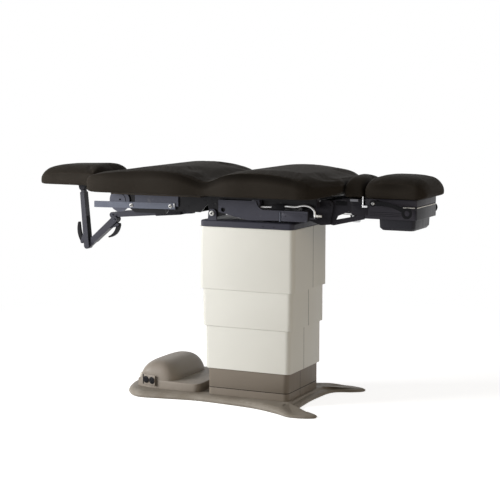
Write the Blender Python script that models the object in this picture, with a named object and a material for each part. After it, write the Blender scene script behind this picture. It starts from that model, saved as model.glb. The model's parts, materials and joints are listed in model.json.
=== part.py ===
"""Power procedure table: telescoping lift column on a floor plate, tilting seat, raising back with an
articulated headrest, and a foot section that swings down and extends.

Metres, +Z up. The origin is on the floor under the column's axis. +X points to the foot end, -Y is the near
side. The table is modelled flat and at full height.
"""

import math

import bmesh
import bpy
import numpy as np
from mathutils import Matrix, Vector

# Clearances
GAP = 0.0003            # between pieces that rest on each other
RUN = 0.0005            # between pieces that slide or turn on each other

# Floor plate and power unit
BASE_THICK = 0.030
BASE_EDGE = 0.005       # height of the plate's lower edge chamfer
BASE_ROUND = (0.014, 0.018)     # width and height of the rounding of the plate's upper edge
LEG_SLOPE = (0.200, 0.300)      # X where the legs begin and end to slope down
LEG_THICK = 0.016
HUMP_X = (-0.612, -0.262)
HUMP_Y = (-0.190, 0.226)
HUMP_LEDGE = 0.040      # height of the ledge beside the dome
DOME_X = (-0.610, -0.404)
HUMP_DOME = 0.091       # dome over the ledge
HUMP_WALL = 0.003
PANEL_CORNERS = ((-0.6026, -0.164), (-0.4674, -0.200))  # line of the cut face that holds the receptacles
PANEL_SIZE = (0.080, 0.052, 0.004)
SOCKET_R = 0.0165
INLET_SIZE = (0.034, 0.060, 0.050)

# Column covers, from the floor, at full height
LOWER_FOOT = 0.1605     # bottom edges of the three cover stages
MID_FOOT = 0.368
UPPER_FOOT = 0.548
COLUMN_TOP = 0.848      # underside of the top plate
SKIRT_HALF = (0.2115, 0.187)
COVER_STEP = (0.012, 0.006)
COVER_WALL = 0.003
COVER_RADIUS = 0.025
COVER_SPLIT = 0.0008    # gap between the two halves of a stage
LIP = 0.003             # hooks by which one stage carries the next
SKIRT_BAND = 0.035      # groove over the skirt's foot
GROOVE = (0.0015, 0.0024)
SPLITS = {"skirt": -0.037, "cover_lower": -0.022, "cover_mid": 0.004, "cover_upper": 0.030}

# Lift
LIFT_TRAVEL = 0.480
TUBE_HALF = 0.130       # fixed column tube
TUBE_WALL = 0.005
LIFT_X = -0.050
LIFT_R = 0.034
LIFT_WALL = 0.0055
LIFT_MOTOR = (0.095, 0.080, 0.068)

# Top plate and tilt pivot
PLATE_X = (-0.238, 0.248)
PLATE_HALF_Y = 0.215
PLATE_THICK = 0.030
PLATE_ROUND = 0.006
PIVOT_X = -0.170
PIVOT_RISE = 0.034      # tilt axis over the top plate
LUG_R = 0.021
LUG_FOOT = 0.047
PIN_R = 0.0095
TILT_ROD = (0.050, 0.012, 0.028)    # X, radius of the rod, radius of its housing
TILT_STROKE = 0.0596

# Heights of the table top over the top plate
SEAT_RISE = 0.122       # underside of the upholstery
BOARD_THICK = 0.0137
PLATE_Y = 0.214         # outer face of the seat's side plates
SHEET = 0.005
GUSSET_Y = (0.1955, 0.2035)
ARM_Y = (0.180, 0.190)  # hinge arms of the back

# Hinges of the back and of the foot section: X, and depth under the upholstery
BACK_X = -0.180
BACK_DROP = 0.020
FOOT_X = 0.398
FOOT_DROP = 0.035

# Seat frame
SIDE_X = (-0.137, 0.322)
CROSS_X = (0.035, 0.075)
CROSS_DROP = 0.038      # underside of the cross member under the upholstery
BEAM_X = (0.268, 0.300)
SEAT_PAN_X = (-0.130, 0.290, 0.355)     # start, corner and end of the pan's plan
PAN_LIP_Y = 0.181       # the pan's turned-down lips
PAN_LIP_DROP = 0.046
BRACKET_Y = (0.140, 0.148)
ACT_Y = 0.071           # distance of the back and foot actuators from the middle
ACT_R = 0.021
ROD_R = 0.009
CRANK_PIN_R = 0.006
BACK_CRANK = 0.060      # hinge to actuator pin
FOOT_CRANK = 0.075
BACK_RANGE = math.radians(80)
FOOT_RANGE = math.radians(90)
HOSE_R = 0.005

# Back frame
PAN_X = (-0.420, -0.230)
PAN_DEPTH = 0.089       # bottom of the pan under the upholstery
# Lower edge of the pan's side webs: X, and depth under the upholstery
WEB = ((-0.665, 0.065), (-0.632, 0.085), (-0.604, 0.1045), (-0.432, 0.1035))
RAIL_X = (-0.828, -0.376)
RAIL_Y = (0.1905, 0.2025)
RAIL_HEAD = (0.0855, 0.055)     # depth of the rail's edges under the upholstery at its head end
RAIL_FOOT = (0.0795, 0.0495)    # the same at its foot end
DISC_AT = (-0.686, 0.047)       # round bearer under the board, X and depth
DISC_R = 0.056
POST_X = (-0.599, -0.361)
BACK_BOARD_X = (-0.715, -0.222)
BOARD_HALF_Y = 0.235

# Headrest linkage, as places in X and depth under the upholstery
BAR_END = (-0.380, 0.1035)
BAR_TIP = (-0.842, 0.142)
KNEE = (-0.824, 0.163)
HEEL = (-0.990, 0.307)
NECK = (-1.014, 0.007)
BAR_HALF = (0.015, 0.012)   # half width and half height of the sliding bar
LINK_HALF_Y = 0.020
LINK_R = (0.017, 0.012)    # half widths of the lower and the upper link
TANG_HALF_Y = 0.010
LINK_PIN_R = 0.006
GUIDE_X = (-0.580, -0.440)
LEVER_HALF_Y = 0.008
LEVER_WIDE = ((0.0105, 0.0085, 0.0035), (0.0065, 0.0095, 0.0040))   # half widths at root, middle and tip
BAR_HOOD = (
    (-0.824, 0.138), (-0.824, 0.1245), (-0.760, 0.1164), (-0.702, 0.1116), (-0.645, 0.119), (-0.640, 0.127),
)   # raised back of the sliding bar near the knee
HEAD_BOARD = (0.120, 0.060, 0.0055)

# Foot section
FRAME_Y = (0.130, 0.1385)
BEAM_FOOT = (0.097, 0.147)  # foot cross beam, from the hinge
FRAME_END = 0.158
RAIL_R = 0.010
RAIL_AT = (0.098, 0.042)    # Y of the extension rails and depth under the upholstery
BOX_START = 0.175           # from the hinge
BOX_LENGTH = 0.249
BOX_HALF_Y = 0.138
BOX_WALL = 0.006
BOX_Z = (0.089, 0.0285)     # depth of the box's lower and upper edge
TRAY_DEPTH = 0.053
TRAY_CLEAR = (0.057, 0.017)  # from the box's two ends to the bowl
TRAY_HALF_Y = 0.115
TRAY_WALL = 0.003
RUNNER = 0.0042
LEG_RAISE = 0.004           # the leg board's top over the seat's boards
STIRRUP_AT = (0.230, 0.014)
STIRRUP_Y = (0.1765, 0.1845)
STIRRUP_PIN_R = 0.008

# Upholstery
SEAT_HALF_Y = 0.355
SEAT_END = 0.470
BACK_END = -0.800
BELLY = 0.050           # widest line over the underside
FOLD_ANGLE = math.radians(40)   # faces of the soft fold, from the upright
SOFT_GAP = 0.0008

# Heights that follow
DECK = COLUMN_TOP + PLATE_THICK
PIVOT_Z = DECK + PIVOT_RISE
SEAT_Z = DECK + SEAT_RISE
BACK_Z = SEAT_Z - BACK_DROP
FOOT_Z = SEAT_Z - FOOT_DROP
BOARD_TOP = SEAT_Z - GAP
BOARD_UNDER = BOARD_TOP - BOARD_THICK
FIXED_TOP = COLUMN_TOP - LIFT_TRAVEL - 0.008
HALF_TRAVEL = LIFT_TRAVEL / 2
SIDES = (("near", -1), ("far", 1))

FINISHES = {
    "taupe": ((0.36, 0.31, 0.26), 0.45, 0.0),
    "dark_taupe": ((0.22, 0.19, 0.16), 0.5, 0.0),
    "cream": ((0.78, 0.75, 0.67), 0.45, 0.0),
    "charcoal": ((0.035, 0.035, 0.04), 0.45, 0.2),
    "grey_steel": ((0.10, 0.10, 0.115), 0.4, 0.5),
    "bright_steel": ((0.6, 0.6, 0.62), 0.25, 1.0),
    "zinc": ((0.42, 0.42, 0.43), 0.4, 0.9),
    "vinyl": ((0.020, 0.016, 0.013), 0.4, 0.0),
    "board": ((0.03, 0.03, 0.03), 0.7, 0.0),
    "black": ((0.012, 0.012, 0.012), 0.5, 0.0),
}

JOINTS = {}


# Scene and objects

def clear_scene():
    """Removes whatever the scene holds."""
    for obj in list(bpy.data.objects):
        bpy.data.objects.remove(obj, do_unlink=True)


def joint(name, pivot, parent=None):
    """An empty on a joint's axis, under its parent's empty. The pieces of that body hang on it."""
    empty = bpy.data.objects.new(name + "_axis", None)
    empty.empty_display_size = 0.03
    bpy.context.scene.collection.objects.link(empty)
    pivot = Vector(pivot)
    if parent:
        empty.parent = JOINTS[parent][0]
        empty.location = pivot - JOINTS[parent][1]
    else:
        empty.location = pivot
    JOINTS[name] = (empty, pivot)


def finish_material(name, finish):
    """A Principled material with the finish's colour, roughness and metallic value."""
    colour, rough, metal = FINISHES[finish]
    mat = bpy.data.materials.new(name + "_" + finish)
    mat.use_nodes = True
    shader = mat.node_tree.nodes["Principled BSDF"]
    shader.inputs["Base Color"].default_value = (*colour, 1)
    shader.inputs["Roughness"].default_value = rough
    shader.inputs["Metallic"].default_value = metal
    mat.diffuse_color = (*colour, 1)
    return mat


def hang(name, bm, body):
    """Makes an object of a mesh drawn in world coordinates, with its origin on its body's axis."""
    empty, pivot = JOINTS[body]
    bmesh.ops.translate(bm, vec=-pivot, verts=bm.verts)
    mesh = bpy.data.meshes.new(name)
    bm.to_mesh(mesh)
    bm.free()
    mesh.shade_smooth()
    mesh.set_sharp_from_angle(angle=math.radians(32))
    obj = bpy.data.objects.new(name, mesh)
    bpy.context.scene.collection.objects.link(obj)
    obj.parent = empty
    return obj


def piece(name, bm, finish, body, joined=(), cuts=(), common=None):
    """A named piece. Meshes in joined are fused to it, those in cuts are cut out, common bounds it."""
    obj = hang(name, bm, body)
    obj.data.materials.append(finish_material(name, finish))
    steps = [("UNION", tool) for tool in joined]
    steps += [("DIFFERENCE", tool) for tool in cuts]
    if common:
        steps.append(("INTERSECT", common))
    for number, (operation, tool) in enumerate(steps):
        helper = hang(f"{name}_tool_{number}", tool, body)
        helper.hide_render = True
        helper.display_type = "WIRE"
        step = obj.modifiers.new(operation.lower(), "BOOLEAN")
        step.operation = operation
        step.solver = "EXACT"
        step.object = helper
    return obj


# Shapes, all drawn in world coordinates

def loft(rings, closed=False):
    """A skin over rings of points. It is capped at both ends, or joined end to end where closed."""
    bm = bmesh.new()
    loops = [[bm.verts.new(point) for point in ring] for ring in rings]
    pairs = list(zip(loops, loops[1:]))
    if closed:
        pairs.append((loops[-1], loops[0]))
    for a, b in pairs:
        for i in range(len(a)):
            j = (i + 1) % len(a)
            bm.faces.new((a[i], a[j], b[j], b[i]))
    if not closed:
        bm.faces.new(loops[0][::-1])
        bm.faces.new(loops[-1])
    bmesh.ops.recalc_face_normals(bm, faces=bm.faces)
    return bm


def prism(outline, axis, lo, hi, holes=()):
    """A flat outline with holes, drawn from lo to hi along an axis. Y takes (X, Z) and Z takes (X, Y)."""
    place = {
        "x": lambda a, b: (lo, a, b),
        "y": lambda a, b: (a, lo, b),
        "z": lambda a, b: (a, b, lo),
    }[axis]
    bm = bmesh.new()
    edges = []
    for loop in (outline, *holes):
        verts = [bm.verts.new(place(a, b)) for a, b in loop]
        edges += [bm.edges.new((verts[i - 1], verts[i])) for i in range(len(verts))]
    bmesh.ops.triangle_fill(bm, use_beauty=True, use_dissolve=False, edges=edges)
    moved = bmesh.ops.extrude_face_region(bm, geom=bm.faces[:])["geom"]
    step = Vector([hi - lo if axis == name else 0.0 for name in "xyz"])
    bmesh.ops.translate(bm, vec=step, verts=[v for v in moved if isinstance(v, bmesh.types.BMVert)])
    bmesh.ops.recalc_face_normals(bm, faces=bm.faces)
    return bm


def plate_y(outline, side, y_range, holes=()):
    """A prism across Y on the near or far side, between two distances from the middle."""
    lo, hi = sorted(side * y for y in y_range)
    return prism(outline, "y", lo, hi, holes)


def box(x, y, z, round_edge=0.0):
    """A box between three ranges, with an optional edge chamfer."""
    bm = bmesh.new()
    size = Vector((x[1] - x[0], y[1] - y[0], z[1] - z[0]))
    middle = Vector((sum(x) / 2, sum(y) / 2, sum(z) / 2))
    bmesh.ops.create_cube(bm, size=1.0, matrix=Matrix.Translation(middle) @ Matrix.Diagonal((*size, 1)))
    if round_edge:
        bmesh.ops.bevel(bm, geom=bm.edges[:], offset=round_edge, segments=2, profile=0.5, affect="EDGES")
    return bm


def rod(start, end, radius, sides=16):
    """A round bar between two points."""
    start, end = Vector(start), Vector(end)
    run = end - start
    turn = run.to_track_quat("Z", "Y").to_matrix().to_4x4()
    place = Matrix.Translation((start + end) / 2) @ turn
    bm = bmesh.new()
    bmesh.ops.create_cone(
        bm, cap_ends=True, segments=sides, radius1=radius, radius2=radius, depth=run.length, matrix=place
    )
    return bm


def cross_pin(place, side, y_range, radius, sides=16):
    """A round bar along Y on the near or far side, between two distances from the middle."""
    x, z = place
    return rod((x, side * y_range[1], z), (x, side * y_range[0], z), radius, sides)


def ring_of(centre, axis, radius, sides=16):
    """A circle of points square to the x or z axis."""
    turns = [math.tau * (i + 0.5) / sides for i in range(sides)]
    x, y, z = centre
    if axis == "x":
        return [(x, y + radius * math.cos(t), z + radius * math.sin(t)) for t in turns]
    return [(x + radius * math.cos(t), y + radius * math.sin(t), z) for t in turns]


def cup(mouth, floor, axis, outer, bore, thick, sides=20):
    """A round housing with a bore from its mouth down to a floor of the given thickness."""
    mouth, floor = Vector(mouth), Vector(floor)
    inward = (mouth - floor).normalized() * thick
    return loft([
        ring_of(floor + inward, axis, bore, sides),
        ring_of(mouth, axis, bore, sides),
        ring_of(mouth, axis, outer, sides),
        ring_of(floor, axis, outer, sides),
    ])


def arc(centre, radius, start, end, count):
    """Points of a circular arc, in degrees."""
    angles = np.radians(np.linspace(start, end, count))
    return [(centre[0] + radius * math.cos(t), centre[1] + radius * math.sin(t)) for t in angles]


def circle(centre, radius, sides=16):
    """A closed circle of points."""
    return arc(centre, radius, 0, 360 * (1 - 1 / sides), sides)


def slot(start, end, radius):
    """A round-ended slot between two points, also used as the outline of a link."""
    return capsule(start, end, radius, radius)


def capsule(start, end, start_r, end_r, count=7):
    """A bar's outline with round ends of two radii."""
    heading = math.degrees(math.atan2(end[1] - start[1], end[0] - start[0]))
    head = arc(end, end_r, heading - 90, heading + 90, count)
    return head + arc(start, start_r, heading + 90, heading + 270, count)


def rounded_rect(half_x, half_y, radius, middle=(0.0, 0.0), count=4):
    """A rectangle with round corners, as points."""
    points = []
    for quarter, (sx, sy) in enumerate(((1, 1), (-1, 1), (-1, -1), (1, -1))):
        corner = (middle[0] + sx * (half_x - radius), middle[1] + sy * (half_y - radius))
        points += arc(corner, radius, 90 * quarter, 90 * quarter + 90, count)
    return points


def at_height(outline, z):
    """A plan outline lifted to a height."""
    return [(x, y, z) for x, y in outline]


def smooth_loop(points, per_span):
    """A closed curve through points, by the Catmull-Rom rule."""
    control = np.array(points, float)
    before, after, beyond = (np.roll(control, shift, axis=0) for shift in (1, -1, -2))
    t = np.linspace(0, 1, per_span, endpoint=False)[None, :, None]
    a, b, c, d = (block[:, None, :] for block in (before, control, after, beyond))
    square = (2 * a - 5 * b + 4 * c - d) * t**2
    cube = (3 * b - a - 3 * c + d) * t**3
    curve = 0.5 * (2 * b + (c - a) * t + square + cube)
    return curve.reshape(-1, control.shape[1])


def smooth_through(points):
    """A function of x through points, cubic between them with the slopes of their neighbours."""
    xs, ys = np.array(points, float).T
    slopes = np.gradient(ys, xs)

    def value(x):
        k = np.clip(np.searchsorted(xs, x) - 1, 0, len(xs) - 2)
        span = xs[k + 1] - xs[k]
        t = np.clip((x - xs[k]) / span, 0, 1)
        rise = ys[k] * (1 + 2 * t) * (1 - t) ** 2 + ys[k + 1] * t**2 * (3 - 2 * t)
        return rise + span * t * (1 - t) * (slopes[k] * (1 - t) - slopes[k + 1] * t)

    return value


def inset(outline, distance):
    """A closed plan outline moved inwards along its normals."""
    points = np.array(outline, float)
    along = np.roll(points, -1, axis=0) - np.roll(points, 1, axis=0)
    along /= np.linalg.norm(along, axis=1)[:, None]
    return points + distance * np.stack([-along[:, 1], along[:, 0]], axis=1)


# Floor plate and power unit

def base_outline():
    """The floor plate in plan: round head end, waist, two splayed legs and the notch between them."""
    half = [
        (0.260, 0.070), (0.281, 0.212), (0.366, 0.262), (0.405, 0.292), (0.411, 0.322), (0.368, 0.350),
        (0.288, 0.359), (0.200, 0.314), (0.075, 0.268), (-0.076, 0.247), (-0.254, 0.237), (-0.410, 0.262),
        (-0.549, 0.279), (-0.634, 0.212), (-0.683, 0.105),
    ]
    return smooth_loop(half + [(-0.700, 0.0)] + [(x, -y) for x, y in reversed(half)], 3)


def make_base():
    """The floor plate with a round upper edge, flat under the column. Its legs slope down to their tips."""
    plan = base_outline()
    start, end = LEG_SLOPE
    share = np.clip((plan[:, 0] - start) / (end - start), 0, 1)
    top = BASE_THICK - (BASE_THICK - LEG_THICK) * share**2 * (3 - 2 * share)
    wide, high = BASE_ROUND

    def level(outline, rise):
        return np.column_stack([outline, BASE_EDGE + (top - BASE_EDGE) * rise])

    rings = [at_height(inset(plan, BASE_EDGE), 0.0), level(plan, 0.0)]
    for degrees in (0, 24, 48, 70, 90):
        turn = math.radians(degrees)
        drop = high * (1 - math.sin(turn))
        rings.append(level(inset(plan, wide * (1 - math.cos(turn))), 1 - drop / (BASE_THICK - BASE_EDGE)))
    corner = np.array([SKIRT_HALF[0], SKIRT_HALF[1]]) + 0.012
    held = np.clip(plan, -corner, corner)
    flat = np.where(plan[:, :1] > start, held + 0.02 * (plan - held), inset(plan, 2 * wide))
    rings.append(at_height(flat, BASE_THICK))
    piece("base_plate", loft(rings), "taupe", "base")


def hump_ring(x_range, scale, squareness, z, shrink, count=40):
    """One level of the hump: a superellipse in plan, flattened at the corner that holds the receptacles."""
    middle = (sum(x_range) / 2, sum(HUMP_Y) / 2)
    half = np.array([x_range[1] - x_range[0], HUMP_Y[1] - HUMP_Y[0]]) / 2 * scale - shrink
    turns = (np.arange(count) + 0.5) * math.tau / count
    wave = np.stack([np.cos(turns), np.sin(turns)], axis=1)
    plan = np.sign(wave) * np.abs(wave) ** (2 / squareness) * half + middle
    start, end = np.array(PANEL_CORNERS)
    normal = np.array([start[1] - end[1], end[0] - start[0]])
    normal = -normal / np.linalg.norm(normal)
    beyond = plan @ normal - (start @ normal - shrink)
    plan = plan - np.maximum(beyond, 0)[:, None] * normal
    return [(x, y, z) for x, y in plan]


def make_power_unit():
    """The hump over the power supply, its receptacle panel and its cord inlet."""
    floor = BASE_THICK + GAP
    ledge = BASE_THICK + HUMP_LEDGE
    levels = [(HUMP_X, 1.0, 8.0, floor), (HUMP_X, 1.0, 8.0, ledge - 0.006), (HUMP_X, 0.982, 8.0, ledge)]
    for degrees in (2, 14, 28, 42, 56, 68, 79):
        turn = math.radians(degrees)
        levels.append((DOME_X, 0.985 * math.cos(turn) ** 0.56, 3.4, ledge + HUMP_DOME * math.sin(turn)))
    outer = [hump_ring(*level, 0.0) for level in levels]
    inner = []
    for x_range, scale, squareness, z in levels:
        inner.append(hump_ring(x_range, scale, squareness, z - HUMP_WALL * (z > floor), HUMP_WALL))
    piece("power_cover", loft(inner[::-1] + outer), "taupe", "base")

    start, end = (Vector((*corner, 0)) for corner in PANEL_CORNERS)
    run = (end - start).normalized()
    out = Vector((run.y, -run.x, 0))
    out = out if out.x < 0 else -out
    wide, high, thick = PANEL_SIZE
    middle = (start + end) / 2 + Vector((0, 0, BASE_THICK + 0.013 + high / 2)) + out * (GAP + thick / 2)
    turn = Matrix((run, out, Vector((0, 0, 1)))).transposed().to_4x4()
    plate = box((-wide / 2, wide / 2), (-thick / 2, thick / 2), (-high / 2, high / 2), 0.001)
    bmesh.ops.transform(plate, matrix=Matrix.Translation(middle) @ turn, verts=plate.verts)
    sockets = []
    for shift in (-0.0185, 0.0205):
        face = middle + run * shift
        sockets.append(rod(face, face + out * (thick / 2 + 0.002), SOCKET_R, 20))
    piece("receptacle_panel", plate, "black", "base", joined=sockets)

    deep, wide, high = INLET_SIZE
    back = HUMP_X[0] - GAP
    inlet = box((back - deep, back), (-0.035 - wide, -0.035), (floor, floor + high), 0.010)
    piece("cord_inlet", inlet, "cream", "base")

    supply = box((DOME_X[0] + 0.045, DOME_X[1] - 0.030), (-0.085, 0.120), (floor, ledge + 0.035), 0.003)
    piece("power_supply", supply, "zinc", "base")


# Column

def half_path(half_x, half_y, radius, split, side, count=5):
    """Half of a rounded rectangle, from the split on its foot-end face round to the head-end face."""
    end = split + side * COVER_SPLIT / 2
    foot = arc((half_x - radius, side * (half_y - radius)), radius, 0, side * 90, count)
    head = arc((radius - half_x, side * (half_y - radius)), radius, side * 90, side * 180, count)
    return [(half_x, end), *foot, *head, (-half_x, end)]


def make_cover(name, half, foot, top, finish, body, inner_lip, outer_lip, groove=False):
    """A cover stage: two half shells. A lip at the foot runs on the stage inside, one at the top hooks
    over the lip of the stage outside."""
    hx, hy = half
    wall = (hx - COVER_WALL, hy - COVER_WALL)
    profile = [(half, foot)]
    if groove:
        deep, high = GROOVE
        cut = (hx - deep, hy - deep)
        z = foot + SKIRT_BAND
        profile += [(half, z), (cut, z), (cut, z + high), (half, z + high)]
    if outer_lip:
        lip = (hx + COVER_STEP[0] - COVER_WALL - RUN, hy + COVER_STEP[1] - COVER_WALL - RUN)
        profile += [(half, top - LIP), (lip, top - LIP), (lip, top)]
    else:
        profile.append((half, top))
    profile.append((wall, top))
    if inner_lip:
        lip = (hx - COVER_STEP[0] + RUN, hy - COVER_STEP[1] + RUN)
        profile += [(wall, foot + LIP), (lip, foot + LIP), (lip, foot)]
    else:
        profile.append((wall, foot))
    for label, side in SIDES:
        paths = []
        for (x, y), z in profile:
            radius = COVER_RADIUS + y - hy
            paths.append([(*point, z) for point in half_path(x, y, radius, SPLITS[name], side)])
        piece(f"{name}_{label}", loft(list(zip(*paths))), finish, body)


def make_covers():
    """The skirt on the floor plate and the three stages that hook into each other."""
    halves = [(SKIRT_HALF[0] + k * COVER_STEP[0], SKIRT_HALF[1] + k * COVER_STEP[1]) for k in range(4)]
    hook = 2 * LIP + GAP
    floor = BASE_THICK + GAP
    make_cover("skirt", halves[0], floor, LOWER_FOOT + hook, "dark_taupe", "base", False, True, True)
    make_cover("cover_lower", halves[1], LOWER_FOOT, MID_FOOT + hook, "cream", "cover_lower", True, True)
    make_cover("cover_mid", halves[2], MID_FOOT, UPPER_FOOT + hook, "cream", "cover_mid", True, True)
    make_cover("cover_upper", halves[3], UPPER_FOOT, COLUMN_TOP - GAP, "cream", "carriage", True, False)


def square_tube(half, wall, bottom, top):
    """A square tube, open at both ends."""
    outer = rounded_rect(half, half, 0.010, count=3)
    inner = rounded_rect(half - wall, half - wall, 0.004, count=3)
    return loft(
        [at_height(inner, bottom), at_height(outer, bottom), at_height(outer, top), at_height(inner, top)],
        closed=True,
    )


def make_column():
    """Three telescoping tubes, and the three-stage lift cylinder inside them."""
    floor = BASE_THICK + GAP
    end = COLUMN_TOP - GAP
    step = TUBE_WALL + RUN
    piece("column_fixed_tube", square_tube(TUBE_HALF, TUBE_WALL, floor, FIXED_TOP), "zinc", "base")
    middle = square_tube(TUBE_HALF - step, TUBE_WALL, floor + HALF_TRAVEL + 0.005, FIXED_TOP + HALF_TRAVEL)
    piece("column_mid_tube", middle, "zinc", "column_mid")
    inner = square_tube(TUBE_HALF - 2 * step, TUBE_WALL, floor + LIFT_TRAVEL + 0.005, end)
    piece("column_inner_tube", inner, "zinc", "carriage")

    bed = 0.004
    shrink = LIFT_WALL + RUN
    cylinder = cup((LIFT_X, 0, FIXED_TOP - 0.002), (LIFT_X, 0, floor), "z", LIFT_R, LIFT_R - LIFT_WALL, bed)
    long, wide, high = LIFT_MOTOR
    edge = LIFT_X + LIFT_R - LIFT_WALL / 2
    motor = box((edge, edge + long), (-wide / 2, wide / 2), (floor + 0.001, floor + high), 0.004)
    piece("lift_cylinder", cylinder, "zinc", "base", joined=[motor])
    low = floor + bed + HALF_TRAVEL + 0.003
    outer = LIFT_R - shrink
    stage = [
        ring_of((LIFT_X, 0, z), "z", radius, 20)
        for radius, z in (
            (outer - LIFT_WALL, low), (outer, low),
            (outer, FIXED_TOP - 0.005 + HALF_TRAVEL), (outer - LIFT_WALL, FIXED_TOP - 0.005 + HALF_TRAVEL),
        )
    ]
    piece("lift_stage", loft(stage, closed=True), "bright_steel", "column_mid")
    foot = floor + bed + LIFT_TRAVEL + 0.006
    ram = rod((LIFT_X, 0, foot), (LIFT_X, 0, end), outer - shrink, 20)
    piece("lift_ram", ram, "bright_steel", "carriage")


# Carriage

def make_carriage():
    """The top plate with a hole for the tilt rod, the tilt lugs with their bolts, and the tilt actuator."""
    middle = sum(PLATE_X) / 2
    half_x = (PLATE_X[1] - PLATE_X[0]) / 2
    x, rod_r, housing_r = TILT_ROD
    count = 5
    hole = ring_of((x, 0, 0), "z", rod_r + 0.006, 4 * count)
    first = [(a, b) for a, b, _ in hole]
    rings = []
    for z, shrink in ((0, PLATE_ROUND * 0.5), (PLATE_ROUND * 0.5, 0), (PLATE_THICK - PLATE_ROUND, 0),
                      (PLATE_THICK - PLATE_ROUND * 0.3, PLATE_ROUND * 0.3), (PLATE_THICK, PLATE_ROUND)):
        plan = rounded_rect(half_x - shrink, PLATE_HALF_Y - shrink, 0.024 - shrink, (middle, 0), count)
        rings.append(at_height(plan, COLUMN_TOP + z))
    rings = [at_height(first, COLUMN_TOP), *rings, at_height(first, DECK)]
    piece("top_plate", loft(rings, closed=True), "charcoal", "carriage")

    for label, side in SIDES:
        foot = DECK + GAP
        outline = arc((PIVOT_X, PIVOT_Z), LUG_R, 0, 180, 9)
        outline += [(PIVOT_X - LUG_FOOT / 2, foot), (PIVOT_X + LUG_FOOT / 2, foot)]
        lug_y = (GUSSET_Y[1] + RUN, PLATE_Y)
        bolt = cross_pin((PIVOT_X, PIVOT_Z), side, (GUSSET_Y[0] - 0.001, PLATE_Y + 0.004), PIN_R)
        piece(f"tilt_lug_{label}", plate_y(outline, side, lug_y), "grey_steel", "carriage", joined=[bolt])

    mouth = COLUMN_TOP - GAP
    housing = cup((x, 0, mouth), (x, 0, mouth - 0.246), "z", housing_r, rod_r + RUN, 0.008)
    piece("tilt_actuator", housing, "grey_steel", "carriage")
    pin_z = tilt_pin_z()
    stem = rod((x, 0, mouth - TILT_STROKE - 0.090), (x, 0, pin_z + 0.012), rod_r)
    pin = rod((x, -0.004, pin_z), (x, rod_r + 0.012, pin_z), CRANK_PIN_R - 0.001, 12)
    piece("tilt_actuator_rod", stem, "bright_steel", "tilt_rod", joined=[pin])


def tilt_pin_z():
    """Height of the pin between the tilt rod and the seat's lug."""
    return PIVOT_Z + 0.018


# Seat

def make_seat_sides():
    """The two side plates. An inner gusset takes the tilt bolt and carries the pin of the back hinge."""
    top = SEAT_Z - 0.022
    low = DECK + 0.008
    step = SEAT_Z - 0.062
    outline = [
        (SIDE_X[0], top), (SIDE_X[0], low + 0.034), (0.015, low), (0.180, low + 0.005),
        (SIDE_X[1], low + 0.012), (SIDE_X[1], step), (0.095, step), (0.078, step + 0.007),
        (0.066, step + 0.022), (0.060, top),
    ]
    hole = circle((SIDE_X[0] + 0.025, low + 0.045), 0.011)
    gusset = [
        (PIVOT_X - 0.023, PIVOT_Z), (PIVOT_X - 0.015, PIVOT_Z - 0.017), (PIVOT_X + 0.018, PIVOT_Z - 0.019),
        (SIDE_X[0] + 0.032, PIVOT_Z - 0.007), (SIDE_X[0] + 0.032, top - 0.003),
        (BACK_X + 0.020, BACK_Z + 0.014), (BACK_X - 0.010, BACK_Z + 0.014), (BACK_X - 0.022, BACK_Z),
    ]
    for label, side in SIDES:
        inner = (GUSSET_Y[0] + 0.0002, GUSSET_Y[1] - 0.0002)
        wing = plate_y(gusset, side, inner, [circle((PIVOT_X, PIVOT_Z), PIN_R + RUN)])
        lo, hi = sorted((side * (GUSSET_Y[1] - 0.002), side * (PLATE_Y - SHEET + 0.002)))
        spacer = box((SIDE_X[0] + 0.003, SIDE_X[0] + 0.030), (lo, hi), (top - 0.040, top - 0.006))
        pin = cross_pin((BACK_X, BACK_Z), side, (ARM_Y[0] - 0.001, GUSSET_Y[0] + 0.004), PIN_R)
        sheet = plate_y(outline, side, (PLATE_Y - SHEET, PLATE_Y), [hole])
        piece(f"seat_side_{label}", sheet, "grey_steel", "seat", joined=[spacer, wing, pin])


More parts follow.
